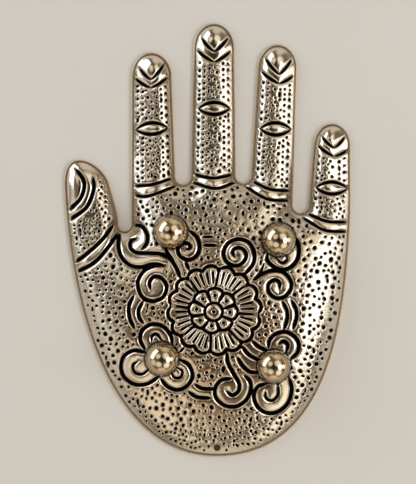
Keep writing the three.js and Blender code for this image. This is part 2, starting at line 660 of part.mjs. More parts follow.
// A slotted round-head screw, with the underside of its head at z = 0
function screw() {
  const shank = SCREW_DIAMETER / 2;
  const head = HEAD_DIAMETER / 2;
  const end = WASHER_THICKNESS + SHEET + SCREW_REACH;
  const chamfer = shank / 4;
  const profile = [[0, -HEAD_HEIGHT]];
  const domeSteps = 4;
  for (let i = 1; i <= domeSteps; i++) {
    const turn = (Math.PI / 2) * (i / domeSteps);
    profile.push([head * Math.sin(turn), -HEAD_HEIGHT * (0.35 + 0.65 * Math.cos(turn))]);
  }
  profile.push([head, 0], [shank, 0], [shank, end - chamfer], [shank - chamfer, end], [0, end]);
  const slot = new THREE.BoxGeometry(2 * HEAD_DIAMETER, SLOT.width, 2 * SLOT.depth);
  slot.translate(0, 0, -HEAD_HEIGHT);
  return toGeometry(toSolid(turned(profile, ROUND_SIDES)).subtract(toSolid(slot)));
}

function named(name, geometry, material) {
  const mesh = new THREE.Mesh(geometry, material);
  mesh.name = name;
  return mesh;
}

// Assembly
const hand = new THREE.Group();
hand.add(named("hand_plate", handPlate(), plateMetal));
for (const { name, place, height } of seats) {
  const foot = new THREE.Group();
  foot.position.set(place.x, place.y, SHEET + height);
  const ball = named(`ball_${name}`, ballFoot(), ballMetal);
  const ring = named(`washer_${name}`, washer(), fixingMetal);
  ring.position.z = -SHEET;
  const bolt = named(`screw_${name}`, screw(), fixingMetal);
  bolt.position.z = -SHEET - WASHER_THICKNESS;
  foot.add(ball, ring, bolt);
  hand.add(foot);
}

const middle = new THREE.Box2().setFromPoints(outline).getCenter(new THREE.Vector2());
hand.position.set(-middle.x, -middle.y, 0);
const assembly = new THREE.Group();
assembly.add(hand);

export default assembly;
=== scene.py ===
# %% [markdown]
# # A pressed metal hand with a chased face
#
# The object is a hand-shaped dish for incense ash. One sheet of pale plated brass is pressed into a
# shallow, crowned hand with a flat border. Its outer face is chased: scrolls, a rosette, nails and rings
# are cut as dark lines, and the ground between them is punched with dots. Four polished balls are screwed
# on as feet. The CAD model gives the pressed hand with its main lines as plain cuts, and its fixings.
# This lesson adds what makes it look real: rounded lines that vary in width, punched dots, raised seeds
# and nails, and the finish.

# %% Load the frame
import math
import random

import bpy
import numpy as np
from mathutils import Matrix, Vector
from mathutils.geometry import delaunay_2d_cdt


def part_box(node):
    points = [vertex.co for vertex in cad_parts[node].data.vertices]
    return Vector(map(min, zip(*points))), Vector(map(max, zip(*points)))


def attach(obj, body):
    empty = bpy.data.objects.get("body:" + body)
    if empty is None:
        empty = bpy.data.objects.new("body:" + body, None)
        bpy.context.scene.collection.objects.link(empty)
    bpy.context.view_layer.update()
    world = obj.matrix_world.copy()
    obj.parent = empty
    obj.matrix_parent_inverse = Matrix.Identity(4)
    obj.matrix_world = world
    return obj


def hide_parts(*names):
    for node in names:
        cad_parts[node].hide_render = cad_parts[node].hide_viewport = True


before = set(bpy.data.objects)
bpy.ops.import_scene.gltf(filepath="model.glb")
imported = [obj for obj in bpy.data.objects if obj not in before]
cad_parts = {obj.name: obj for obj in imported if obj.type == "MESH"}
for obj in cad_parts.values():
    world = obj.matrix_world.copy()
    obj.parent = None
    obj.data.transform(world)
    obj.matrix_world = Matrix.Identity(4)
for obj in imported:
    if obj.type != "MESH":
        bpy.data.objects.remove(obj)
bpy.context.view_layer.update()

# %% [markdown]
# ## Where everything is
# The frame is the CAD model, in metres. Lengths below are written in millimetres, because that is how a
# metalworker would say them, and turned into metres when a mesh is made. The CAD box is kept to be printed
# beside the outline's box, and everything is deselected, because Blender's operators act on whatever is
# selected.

MM = 0.001
plate_low, plate_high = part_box("hand_plate")
bpy.ops.object.select_all(action="DESELECT")
bpy.context.scene.view_settings.view_transform = "Standard"
print("frame:", sorted(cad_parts))

# %% [markdown]
# ## The outline of the hand
# A hand's outline is round stretches joined by straight ones: Bezier curves along the palm and the thumb,
# half an ellipse for each fingertip and half a circle for each web. The values are those of the CAD
# model, so that the chased sheet ends where the plain one does. Only the bend on the inner side of the
# thumb is drawn rounder, by a third of a millimetre. The same line could be drawn as a Bezier object, but
# the sheet's height depends on the distance to this line, so it is kept as numbers.

# %% Outline values and curves
WRIST = (2.9, -75.5)
HEEL_HANDLE_LITTLE = 41.5
HEEL_HANDLE_THUMB = 37.7
LITTLE_SIDE = (49.85, 12.0)
LITTLE_HANDLE = 35.5
THUMB_SIDE = (-50.3, 20.0)
THUMB_HANDLE = 42.2
SIDE_LEAN = 0.04
TIP_LENGTH = 8.6
FINGERS = {
    "little": {"tip": (43.7, 40.9), "width": 13.0, "lean": 3.0, "web": (32.3, 12.5), "web_radius": 2.8},
    "ring": {"tip": (24.6, 68.5), "width": 13.6, "lean": 3.0, "web": (12.3, 22.8), "web_radius": 2.7},
    "middle": {"tip": (2.1, 75.9), "width": 14.1, "lean": 0.5, "web": (-8.8, 22.4), "web_radius": 2.75},
    "index": {"tip": (-19.8, 65.7), "width": 14.0, "lean": 0.0, "web": (-29.2, 5.7), "web_radius": 2.3},
}
FINGER_LENGTHS = {"little": 30.0, "ring": 47.0, "middle": 54.0, "index": 46.0}
RIDGE_PUSH = {"little": 0.4, "ring": 0.15, "middle": 0.05, "index": -0.25}
THUMB_TIP = (-44.9, 28.2)
THUMB_ROUNDNESS = 4.2
THUMB_BEND = (-34.5, 19.2)
THUMB_SLANT = 1.1
CURVE_STEPS = 80
ROUND_STEPS = 40


def bezier(start, first, second, end):
    """Points along a cubic curve, without its last one."""
    share = np.linspace(0, 1, CURVE_STEPS, endpoint=False)[:, None]
    rest = 1 - share
    middle = 3 * rest**2 * share * np.array(first) + 3 * rest * share**2 * np.array(second)
    return rest**3 * np.array(start) + middle + share**3 * np.array(end)


def finger_end(finger):
    """Half an ellipse round a fingertip, from its right side to its left, then the web's half circle."""
    lean = math.radians(finger["lean"])
    along = np.array([math.sin(lean), math.cos(lean)])
    across = np.array([math.cos(lean), -math.sin(lean)])
    turn = np.linspace(0, math.pi, ROUND_STEPS)[:, None]
    middle = np.array(finger["tip"]) - TIP_LENGTH * along
    tip = middle + finger["width"] / 2 * np.cos(turn) * across + TIP_LENGTH * np.sin(turn) * along
    web = finger["web_radius"] * np.hstack([np.cos(turn), -np.sin(turn)]) + np.array(finger["web"])
    return np.vstack([tip, web])


print(len(FINGERS), "fingers and a thumb")

# %% Even steps along a line
def closed_line(line):
    return np.vstack([line, line[:1]])


def walked(line):
    """How far along a line each of its points is."""
    return np.concatenate([[0], np.cumsum(np.hypot(*np.diff(line, axis=0).T))])


def at_marks(line, run, marks):
    """The places on a line at these marks, for points that are so far along it as the run says."""
    return np.column_stack([np.interp(marks, run, line[:, 0]), np.interp(marks, run, line[:, 1])])


def spaced(line, pitch, closed=False):
    """The same line in equal steps of about the pitch."""
    if closed:
        line = closed_line(line)
    run = walked(line)
    marks = np.linspace(0, run[-1], max(2, round(run[-1] / pitch)) + 1)
    even = at_marks(line, run, marks)
    return even[:-1] if closed else even


print("a line of 3 mm in steps of 1 mm has", len(spaced(np.array([(0, 0), (3, 0)]), 1)), "points")

# %% Draw the outline
def shifted(place, right, up):
    return (place[0] + right, place[1] + up)


def hand_outline():
    """The whole outline, counterclockwise from the heel."""
    palm_right = bezier(
        WRIST,
        shifted(WRIST, HEEL_HANDLE_LITTLE, 0),
        shifted(LITTLE_SIDE, -SIDE_LEAN * LITTLE_HANDLE, -LITTLE_HANDLE),
        LITTLE_SIDE,
    )
    ends = [finger_end(finger) for finger in FINGERS.values()]
    root = tuple(ends[-1][-1])
    run = ((THUMB_BEND[0] - root[0]) / 3, (THUMB_BEND[1] - root[1]) / 3)
    slant = run[0] * THUMB_SLANT
    thumb_inner = bezier(root, shifted(root, 0, run[1]), shifted(THUMB_BEND, -slant, -run[1]), THUMB_BEND)
    thumb_end = bezier(
        THUMB_BEND, shifted(THUMB_BEND, slant, run[1]), shifted(THUMB_TIP, THUMB_ROUNDNESS, 0), THUMB_TIP
    )
    thumb_outer = bezier(
        THUMB_TIP,
        shifted(THUMB_TIP, -THUMB_ROUNDNESS, 0),
        shifted(THUMB_SIDE, 0, THUMB_ROUNDNESS),
        THUMB_SIDE,
    )
    palm_left = bezier(
        THUMB_SIDE,
        shifted(THUMB_SIDE, SIDE_LEAN * THUMB_HANDLE, -THUMB_HANDLE),
        shifted(WRIST, -HEEL_HANDLE_THUMB, 0),
        WRIST,
    )
    return np.vstack([palm_right, *ends, thumb_inner, thumb_end, thumb_outer, palm_left])


OUTLINE_PITCH = 0.8
raw_outline = hand_outline()
outline_middle = (raw_outline.min(axis=0) + raw_outline.max(axis=0)) / 2
outline = spaced(raw_outline - outline_middle, OUTLINE_PITCH, closed=True)
print("outline", len(outline), "points, box", outline.min(axis=0), outline.max(axis=0))
print("CAD plate box in mm", list(plate_low / MM), list(plate_high / MM))

# %% [markdown]
# ## The pressed surface
# Pressing leaves three things: a flat border, a rolled edge that rises in a round, and a palm that is
# crowned higher than the fingers. The ridge of each finger is pushed a little towards the middle finger.
# Each is a formula of the distance to the outline or of the place, so the surface is one height for each
# point of the flat drawing. Under each ball the crown is flat, as a seat.

# %% Values of the pressing
SHEET = 1.2
FLANGE = 0.75
EDGE_RUN = 5.8
EDGE_RISE = 2.7
HOLLOW_SHIFT = 0.5
PALM_CROWN = 9.0
PALM_MIDDLE = np.array([3.0, -21.0]) - outline_middle
PALM_REACH = np.array([50.0, 48.0])
CROWN_RUN = 13.0
CROWN_BLEND = 0.16
PUSH_BLEND = 12.0
SEAT_RADIUS = 4.1
SEAT_BLEND = 2.4
BALL_NAMES = ("upper_left", "upper_right", "lower_left", "lower_right")


def middle_of(node):
    low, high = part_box(node)
    return np.array([(low.x + high.x) / 2, (low.y + high.y) / 2]) / MM


ball_places = {name: middle_of("ball_" + name) for name in BALL_NAMES}
print("seats at", {name: place.round(2).tolist() for name, place in ball_places.items()})

# %% Formulas of the pressing
def away_from(places, middle):
    """How far each place is from one place."""
    return np.hypot(*(places - middle).T)


def smooth_step(value, start, end):
    share = np.clip((value - start) / (end - start), 0, 1)
    return share * share * (3 - 2 * share)


def rounded(share):
    """Rises from 0 to 1 and levels out."""
    return 1 - (1 - np.clip(share, 0, 1)) ** 2


def plain_crown(places):
    rest = 1 - (((places - PALM_MIDDLE) / PALM_REACH) ** 2).sum(axis=1)
    return PALM_CROWN * (rest + np.hypot(rest, CROWN_BLEND)) / 2


def ridge_push(places):
    """How much a finger is higher on one side of its middle line, because its ridge is pushed aside."""
    push = np.zeros(len(places))
    for name, finger in FINGERS.items():
        lean = math.radians(finger["lean"])
        away = places - (np.array(finger["tip"]) - outline_middle)
        aside = away[:, 0] * math.cos(lean) - away[:, 1] * math.sin(lean)
        along = away[:, 0] * math.sin(lean) + away[:, 1] * math.cos(lean)
        on_finger = np.abs(aside) < finger["width"] / 2 + FLANGE
        share = smooth_step(FINGER_LENGTHS[name] + along, 0, PUSH_BLEND)
        push -= np.where(on_finger, RIDGE_PUSH[name] * aside * share, 0)
    return push


def plain_height(places, inset, start, run):
    """Height of the pressed sheet over its border, at a distance in from the cut edge."""
    roll = rounded((inset - start) / run)
    dome = rounded((inset - start) / CROWN_RUN)
    return roll * (EDGE_RISE + ridge_push(places)) + dome * plain_crown(places)


def pressed_height(places, inset, start, run):
    """The same with a flat seat under each ball."""
    height = plain_height(places, inset, start, run)
    for seat in ball_places.values():
        place = seat[None, :]
        level = plain_height(place, edge_distance(place), FLANGE, EDGE_RUN)[0]
        share = smooth_step(away_from(places, seat), SEAT_RADIUS, SEAT_RADIUS + SEAT_BLEND)
        height = level + (height - level) * share
    return height


print("crown at its top:", plain_crown(PALM_MIDDLE[None, :])[0], "mm")

# %% [markdown]
# ## Measuring how far a point is from a line
# Every groove is a line with a width. The depth at a point depends on how far it is outside the groove's
# edge: negative inside the groove, positive on the metal beside it. One function measures this for all
# the lines, and looks only at the points near each line, which keeps it quick.

# %% Distance to lines
FAR = 3.0
TINY = 1e-9


def from_segments(places, line):
    """For each place and each segment of a line: its nearest share, and how far that is."""
    along = np.diff(line, axis=0)
    length = np.maximum((along**2).sum(axis=1), TINY)
    from_start = places[:, None, :] - line[:-1]
    share = np.clip((from_start * along).sum(axis=2) / length, 0, 1)
    return share, np.linalg.norm(from_start - share[:, :, None] * along, axis=2)


def edge_gap(places, grooves):
    """How far each place is outside the nearest groove's edge, in millimetres, at most FAR."""
    gap = np.full(len(places), FAR)
    for line, half in grooves:
        margin = FAR + half.max()
        near = np.all((places > line.min(axis=0) - margin) & (places < line.max(axis=0) + margin), axis=1)
        index = np.nonzero(near)[0]
        if len(index) == 0:
            continue
        share, away = from_segments(places[index], line)
        width = half[:-1] + share * (half[1:] - half[:-1])
        gap[index] = np.minimum(gap[index], (away - width).min(axis=1))
    return gap


print("gaps are measured up to", FAR, "mm")

# %% Distance to the outline
AT_ONCE = 40


def edge_distance(places):
    """Distance to the outline, for places inside it."""
    border = closed_line(outline)
    nearest = np.full(len(places), np.inf)
    for begin in range(0, len(border) - 1, AT_ONCE):
        away = from_segments(places, border[begin : begin + AT_ONCE + 1])[1]
        nearest = np.minimum(nearest, away.min(axis=1))
    return nearest


def in_polygon(places, polygon):
    """True for places inside the polygon, by counting crossings to the right."""
    inside = np.zeros(len(places), bool)
    border = closed_line(np.asarray(polygon, float))
    for (x0, y0), (x1, y1) in zip(border[:-1], border[1:]):
        crosses = (y0 > places[:, 1]) != (y1 > places[:, 1])
        at = x0 + (places[:, 1] - y0) * (x1 - x0) / (y1 - y0 if y1 != y0 else TINY)
        inside ^= crosses & (places[:, 0] < at)
    return inside


def is_inside(places):
    """True for places inside the outline."""
    return in_polygon(places, outline)


seats = np.array(list(ball_places.values()))
print("height of the pressing at the seats:", pressed_height(seats, edge_distance(seats), FLANGE, EDGE_RUN))

# %% [markdown]
# ## The scrolls
# The scrolls were cut freehand, so no two are alike and no formula gives them. Each is drawn as a smooth
# curve through a few points, in millimetres from the middle of the hand, with the width of the cut line.
# The ends are thinner, as a chasing tool leaves them when it is lifted.

# %% Scroll lines on the palm
SCROLL_WIDTH = 1.5
SCROLLS = {
    "thumb_scroll_hood": [(-25.7, 5.2), (-22.9, 4.7), (-21.0, 1.8), (-21.2, -1.1), (-22.9, -3.3)],
    "thumb_scroll_curl": [
        (-24.9, 0.5), (-26.8, -0.5), (-26.8, -2.8), (-24.7, -4.4), (-20.2, -4.6), (-16.2, -4.9),
        (-13.1, -6.5), (-10.8, -9.8), (-9.5, -13.2),
    ],
    "thumb_scroll_back": [
        (-30.7, 2.1), (-31.1, -1.8), (-30.0, -5.9), (-26.8, -8.9), (-23.0, -9.4), (-18.9, -8.4),
        (-14.9, -9.0),
    ],
    "stem_left": [(-14.8, -2.7), (-13.7, -4.9), (-11.7, -7.4)],
    "stem_right": [(-7.6, -7.6), (-6.4, -10.3)],
    "upper_left_scroll": [
        (-6.1, 3.1), (-3.7, 0.9), (-2.8, -2.2), (-3.8, -5.4), (-6.6, -6.9), (-9.3, -5.8), (-10.3, -3.8),
        (-9.8, -1.8), (-8.2, -1.1), (-6.4, -1.4), (-6.1, -2.7), (-7.3, -3.2),
    ],
    "upper_right_spiral": [
        (12.8, -12.0), (15.7, -8.7), (16.4, -4.9), (14.6, -1.1), (11.0, 0.3), (7.5, -0.9), (5.6, -4.2),
        (6.7, -7.6), (9.9, -9.0), (12.6, -7.6), (13.5, -5.1), (12.2, -3.1), (9.9, -2.8), (8.7, -4.2),
        (9.4, -5.8),
    ],
    "upper_right_scroll": [
        (31.1, 0.4), (31.8, -3.6), (30.8, -7.6), (27.6, -10.1), (23.8, -9.7), (20.9, -7.1),
        (20.9, -4.9),
    ],
    "upper_right_curl": [(24.3, -6.6), (25.9, -8.0), (27.6, -7.0), (27.6, -5.6)],
    "upper_right_tail": [(19.7, -8.2), (18.4, -11.2), (16.2, -13.8)],
    "right_spiral": [
        (16.0, -13.9), (19.1, -11.8), (22.6, -10.6), (26.4, -11.3), (28.9, -14.0), (29.0, -17.2),
        (26.9, -19.7), (23.8, -20.2), (21.4, -18.2), (21.2, -15.6), (23.1, -13.9), (25.0, -14.7),
        (25.1, -16.9),
    ],
    "right_arc_inner": [(26.1, -21.4), (27.6, -24.5), (27.7, -27.7), (26.7, -31.0)],
    "right_arc_outer": [(29.3, -21.1), (30.8, -24.1), (31.0, -27.2), (29.9, -30.9)],
    "lower_right_hood": [
        (21.2, -37.5), (21.7, -34.8), (23.8, -32.7), (27.1, -32.0), (30.3, -33.6), (31.8, -36.4),
        (31.3, -39.3), (29.1, -41.3),
    ],
    "lower_right_hook": [(25.0, -36.1), (26.4, -35.2), (27.9, -36.6), (27.6, -38.8)],
    "leaf_stem_upper": [(15.7, -35.2), (17.7, -37.1), (20.9, -38.6)],
    "leaf_stem_middle": [(12.0, -37.0), (14.4, -39.9), (18.2, -42.0)],
    "leaf_stem_lower": [(10.5, -41.0), (12.2, -43.7), (14.6, -45.8), (17.7, -46.2)],
    "lower_middle_stem": [
        (6.8, -39.3), (7.1, -42.6), (9.0, -46.4), (11.0, -50.0), (10.8, -52.7), (8.6, -54.1),
        (6.7, -52.7),
    ],
    "lower_middle_scroll": [
        (8.4, -48.2), (4.9, -48.8), (2.7, -51.6), (3.0, -55.1), (6.0, -57.7), (10.0, -58.0),
        (13.4, -55.9), (15.1, -52.2), (14.8, -49.2), (13.1, -47.2),
    ],
    "lower_right_spiral": [
        (28.5, -48.4), (29.4, -52.2), (28.0, -57.0), (24.4, -60.0), (20.3, -60.2), (17.1, -57.6),
        (16.2, -54.0), (17.6, -51.1), (20.6, -50.1),
    ],
    "lower_right_curl": [(24.6, -50.8), (24.6, -54.0), (22.6, -56.0), (20.4, -55.1), (20.2, -53.1)],
    "lower_left_top": [
        (-21.8, -38.1), (-23.5, -34.6), (-22.4, -31.2), (-19.0, -29.3), (-15.2, -30.3), (-12.8, -33.3),
        (-12.3, -36.2),
    ],
    "lower_left_top_hook": [(-19.5, -35.1), (-19.3, -33.5), (-17.7, -32.8), (-16.0, -34.8)],
    "lower_left_side": [
        (-21.7, -39.1), (-25.5, -38.5), (-29.0, -40.4), (-30.2, -44.0), (-29.0, -47.9), (-25.2, -50.4),
        (-20.9, -50.1), (-17.1, -47.7),
    ],
    "lower_left_side_hook": [
        (-24.4, -42.3), (-26.1, -43.8), (-25.4, -46.1), (-22.8, -46.8), (-20.6, -45.2),
    ],
    "lower_left_under": [
        (-9.5, -41.7), (-6.6, -43.5), (-5.2, -47.2), (-6.9, -50.6), (-10.4, -52.2), (-13.9, -51.1),
        (-16.3, -48.4),
    ],
    "lower_left_under_hook": [
        (-12.6, -46.5), (-11.4, -48.0), (-9.3, -47.7), (-8.8, -45.7), (-10.1, -44.7),
    ],
    "lower_left_dash": [(-9.7, -39.1), (-8.2, -37.5)],
    "lower_arc_inner": [(-4.4, -50.4), (-1.9, -51.7), (2.3, -51.9)],
    "lower_arc_outer": [(-6.6, -52.9), (-3.7, -54.7), (1.0, -55.1)],
    "left_spiral": [
        (-15.1, -8.8), (-18.4, -9.0), (-22.2, -10.9), (-24.3, -14.9), (-22.9, -19.6), (-19.3, -21.3),
        (-15.5, -19.9), (-14.2, -16.2), (-16.0, -13.3), (-18.6, -12.8), (-20.2, -14.7), (-19.9, -17.0),
    ],
    "left_arc_outer": [(-25.8, -19.4), (-27.4, -23.2), (-27.1, -27.2), (-25.5, -30.8)],
    "left_arc_inner": [(-22.5, -21.4), (-24.0, -24.5), (-23.8, -27.0), (-22.4, -29.0)],
    "thumb_nail_inner": [(-45.9, 24.6), (-43.3, 21.0), (-43.2, 17.5), (-44.8, 13.9), (-48.7, 10.2)],
    "thumb_nail_outer": [(-39.9, 21.6), (-39.8, 17.4), (-42.3, 11.4), (-48.3, 6.9)],
    "thumb_base_upper": [(-33.1, 5.0), (-36.7, 0.2), (-41.9, -4.6), (-46.3, -7.9)],
    "thumb_base_lower": [(-31.6, 2.0), (-34.9, -2.8), (-39.7, -8.0), (-45.7, -11.2)],
}
NARROW = {
    "upper_right_curl": 1.1,
    "upper_right_tail": 1.0,
    "lower_left_top_hook": 1.2,
    "lower_left_side_hook": 1.2,
    "lower_left_under_hook": 1.1,
    "lower_left_dash": 1.2,
    "lower_right_curl": 1.2,
}
print(len(SCROLLS), "scroll lines")

# %% Turn points into grooves
SECTION = 0.6
TAPER = 1.8
END_WIDTH = 0.5
WALL = 0.15
SPAN_STEPS = 16
DASH_CUT = {"end_width": 0.7, "taper": 0.7}
DASHES = {"upper": ((-1.5, 1.0), (1.7, 1.15), 1.0), "lower": ((-1.2, -1.8), (2.9, -1.9), 1.3)}


def smooth_curve(points):
    """A smooth curve through the points."""
    points = np.array(points, float)
    padded = np.vstack([2 * points[0] - points[1], points, 2 * points[-1] - points[-2]])
    share = np.linspace(0, 1, SPAN_STEPS, endpoint=False)[:, None]
    pieces = []
    for before, start, end, after in zip(padded, padded[1:], padded[2:], padded[3:]):
        bend = 2 * before - 5 * start + 4 * end - after
        twist = 3 * (start - end) + after - before
        pieces.append(start + 0.5 * share * (end - before + share * (bend + share * twist)))
    return np.vstack([*pieces, points[-1:]])


def groove(line, width, end_width=END_WIDTH, taper=TAPER):
    """A line in even sections, with half its width at each, thinner towards its ends."""
    line = spaced(np.asarray(line, float), SECTION)
    run = walked(line)
    to_end = np.minimum(run, run[-1] - run)
    share = np.sqrt(np.clip(to_end / min(taper, run[-1] / 2), 0, 1))
    return line, width / 2 * (end_width + (1 - end_width) * share) + WALL / 2


grooves = [groove(smooth_curve(points), NARROW.get(name, SCROLL_WIDTH)) for name, points in SCROLLS.items()]
for start, end, width in DASHES.values():
    grooves.append(groove([start, end], width, **DASH_CUT))
print(len(grooves), "grooves so far")

# %% [markdown]
# ## The rosette
# The flower in the palm is regular, so it is drawn by formula: eight petals with two lobes each, a line
# between petals, four strokes in each petal, a scalloped ring, eight round seeds and a button in the
# middle. Each petal was cut on its own, so its line stops just short of the next petal's. The seeds are
# divided by lines that widen outwards, which rounds their outer corners.

# %% Rosette lines
ROSETTE = np.array([2.14, -25.0])
PETAL_MIDDLE = ROSETTE + (0.3, 0.55)
SEED_MIDDLE = ROSETTE + (-0.15, 0.4)
PETALS = 8
FIRST_PETAL = math.radians(-6)
PETAL_RADIUS = 14.1
LOBE = 1.9
PETAL_STRETCH = np.array([1.02, 0.97])
PETAL_GAP = math.radians(2.7)
STROKE_ANGLES = (-14.0, -4.9, 4.9, 14.0)
STROKE_FROM, STROKE_TO = 9.4, 13.4
STROKE_WIDTHS = (0.7, 1.1)
DIVIDER_FROM = 8.2
DIVIDER_SHORT = 0.9
DIVIDER_WIDTHS = (1.15, 1.0)
SEED_RING = 5.55
SEED_STRETCH = np.array([1.05, 0.96])
SCALLOP_RADIUS = 6.95
SCALLOP = 1.2
SEED_LINE_TO = 7.2
SEED_LINE_WIDTHS = (0.75, 1.55)
BUTTON_RING = 3.1
LOBE_ROUNDNESS = 0.6
seed_angles = [FIRST_PETAL + petal * 2 * math.pi / PETALS for petal in range(PETALS)]
petal_angles = [angle + math.pi / PETALS for angle in seed_angles]


def polar(radius, angle, middle=ROSETTE, stretch=(1, 1)):
    turn = np.asarray(angle)
    return middle + np.stack([radius * np.cos(turn), radius * np.sin(turn)], axis=-1) * stretch


def petal_edge(turn):
    return PETAL_RADIUS + LOBE * np.abs(np.sin(PETALS * (turn - FIRST_PETAL))) ** LOBE_ROUNDNESS


def seed_edge(turn):
    wave = np.abs(np.cos(PETALS / 2 * (turn - FIRST_PETAL))) ** LOBE_ROUNDNESS
    return SCALLOP_RADIUS + SCALLOP * wave


def even_groove(line, width):
    return line, np.full(len(line), width / 2 + WALL / 2)


def widening_groove(start, end, widths):
    line = spaced(np.array([start, end]), SECTION)
    return line, np.linspace(*widths, len(line)) / 2 + WALL / 2


print("petals at", [round(math.degrees(angle)) for angle in petal_angles], "degrees")

# %% Draw the rosette
TURN_STEPS = 361
PETAL_STEPS = 60
ROSETTE_SECTION = 0.5
SEED_RING_WIDTH = 1.2
BUTTON_RING_WIDTH = 1.1
PETAL_CUT = {"width": 1.35, "end_width": 0.7, "taper": 0.9}
full_turn = np.linspace(0, 2 * math.pi, TURN_STEPS)
seed_ring = polar(seed_edge(full_turn), full_turn, SEED_MIDDLE, SEED_STRETCH)
button_ring = polar(BUTTON_RING, full_turn)
rosette = [
    even_groove(spaced(seed_ring, ROSETTE_SECTION), SEED_RING_WIDTH),
    even_groove(spaced(button_ring, ROSETTE_SECTION), BUTTON_RING_WIDTH),
]
for angle in seed_angles:
    turn = np.linspace(angle + PETAL_GAP, angle + 2 * math.pi / PETALS - PETAL_GAP, PETAL_STEPS)
    petal_line = polar(petal_edge(turn), turn, PETAL_MIDDLE, PETAL_STRETCH)
    rosette.append(groove(spaced(petal_line, ROSETTE_SECTION), **PETAL_CUT))
    inner = polar(DIVIDER_FROM, angle, SEED_MIDDLE)
    outer = polar(PETAL_RADIUS - DIVIDER_SHORT, angle, PETAL_MIDDLE)
    rosette.append(widening_groove(inner, outer, DIVIDER_WIDTHS))
for angle in petal_angles:
    inner = polar(BUTTON_RING, angle)
    outer = polar(SEED_LINE_TO, angle, SEED_MIDDLE, SEED_STRETCH)
    rosette.append(widening_groove(inner, outer, SEED_LINE_WIDTHS))
    for offset in STROKE_ANGLES:
        spread = angle + math.radians(offset)
        inner = polar(STROKE_FROM, spread, PETAL_MIDDLE)
        outer = polar(STROKE_TO, spread, PETAL_MIDDLE)
        rosette.append(widening_groove(inner, outer, STROKE_WIDTHS))
grooves += rosette
print(len(rosette), "rosette lines")

# %% [markdown]
# ## Nails, knuckles and rings
# Each finger has the same marks: two chevrons under the nail, a lens-shaped knuckle and two rings at its
# root. They are given by their corners. A chevron is two curved strokes that meet in a point, the lens is
# two arcs that are thickest in the middle, and a ring is an arc across the finger.

# %% Finger lines
FINGER_MARKS = {
    "index": {
        "chevrons": [
            ((-23.7, 60.2), (-19.7, 55.9), (-14.9, 62.0)),
            ((-25.5, 56.8), (-19.8, 53.1), (-13.9, 57.0)),
        ],
        "lens": ((-25.1, 38.6), (-13.75, 39.2), 2.0),
        "rings": [
            ((-25.9, 18.8), (-19.4, 19.35), (-12.95, 21.35)),
            ((-25.9, 15.7), (-20.8, 15.3), (-11.6, 18.65)),
        ],
    },
    "middle": {
        "chevrons": [
            ((-2.1, 70.8), (2.3, 65.7), (7.2, 70.8)),
            ((-3.6, 66.4), (2.3, 62.1), (8.3, 66.2)),
        ],
        "lens": ((-3.3, 45.9), (8.0, 46.0), 2.1),
        "rings": [
            ((-5.1, 23.0), (1.8, 21.6), (8.55, 22.8)),
            ((-5.2, 20.1), (2.9, 18.0), (9.9, 20.3)),
        ],
    },
    "ring": {
        "chevrons": [
            ((20.3, 63.5), (25.0, 57.8), (29.6, 63.5)),
            ((18.8, 59.0), (25.0, 54.6), (30.15, 57.7)),
        ],
        "lens": ((18.3, 38.9), (29.3, 38.7), 2.15),
        "rings": [
            ((15.8, 20.5), (21.8, 17.7), (28.5, 17.2)),
            ((13.4, 18.65), (20.7, 14.4), (28.5, 13.7)),
        ],
    },
    "little": {
        "chevrons": [
            ((40.0, 36.2), (44.2, 32.15), (48.0, 36.2)),
            ((38.4, 33.2), (44.2, 29.2), (49.1, 31.7)),
        ],
        "lens": ((37.8, 18.3), (49.1, 18.0), 2.1),
        "rings": [
            ((35.6, 8.9), (41.75, 6.5), (48.5, 6.2)),
            ((33.7, 7.6), (40.7, 3.5), (48.2, 2.9)),
        ],
    },
}
ARC_STEPS = 24
CHEVRON_BOW = -0.35
CHEVRON_CUT = {"width": 1.2, "end_width": 0.3, "taper": 2.6}
LENS_CUT = {"width": 1.35, "end_width": 0.2, "taper": 5}
RING_CUT = {"width": 1.2, "end_width": 0.7}


def bowed(start, end, bow):
    """An arc from start to end that stands out to its left by bow."""
    start = np.array(start, float)
    end = np.array(end, float)
    share = np.linspace(0, 1, ARC_STEPS)[:, None]
    left = np.array([start[1] - end[1], end[0] - start[0]]) / np.hypot(*(end - start))
    return start + share * (end - start) + 4 * bow * share * (1 - share) * left


finger_lines = []
for marks in FINGER_MARKS.values():
    for left, point, right in marks["chevrons"]:
        for stroke in (bowed(left, point, CHEVRON_BOW), bowed(point, right, CHEVRON_BOW)):
            finger_lines.append(groove(stroke, **CHEVRON_CUT))
    left, right, bow = marks["lens"]
    for arc in (bowed(left, right, bow), bowed(left, right, -bow)):
        finger_lines.append(groove(arc, **LENS_CUT))
    for points in marks["rings"]:
        finger_lines.append(groove(smooth_curve(points), **RING_CUT))
grooves += finger_lines
print(len(finger_lines), "finger lines,", len(grooves), "grooves in all")

# %% [markdown]
# ## Punched dots
# The ground is punched by hand with a round-nosed punch: finer on the fingers, coarser on the palm. Dots
# are placed one by one, as someone filling a ground by eye would do: first rows along the fingers' edges,
# then chance places that keep their distance from the dots before them and from the lines. A seeded
# generator makes the chance the same on every run. The nails, the lenses, the bands between rings and the
# scrolls stay smooth.

# %% Places to keep smooth
TIP_ASIDE, TIP_UP = 6, 16
TIP_SHOULDER = (4, 1)
THUMB_TOP = (-46, 30)
THUMB_OUTER_CORNERS = [(-52, 8), (-52, 30), THUMB_TOP]
THUMB_INNER_CORNERS = [(-33, 21), (-33, 30)]
SMOOTH_BANDS = (
    ("thumb_nail_inner", "thumb_nail_outer"),
    ("thumb_base_upper", "thumb_base_lower"),
    ("thumb_scroll_curl", "thumb_scroll_back"),
    ("right_arc_inner", "right_arc_outer"),
    ("left_arc_inner", "left_arc_outer"),
    ("lower_arc_inner", "lower_arc_outer"),
    ("leaf_stem_upper", "leaf_stem_middle"),
    ("leaf_stem_middle", "leaf_stem_lower"),
    ("stem_left", "stem_right"),
)


def band_between(upper, lower):
    return np.vstack([upper, lower[::-1]])


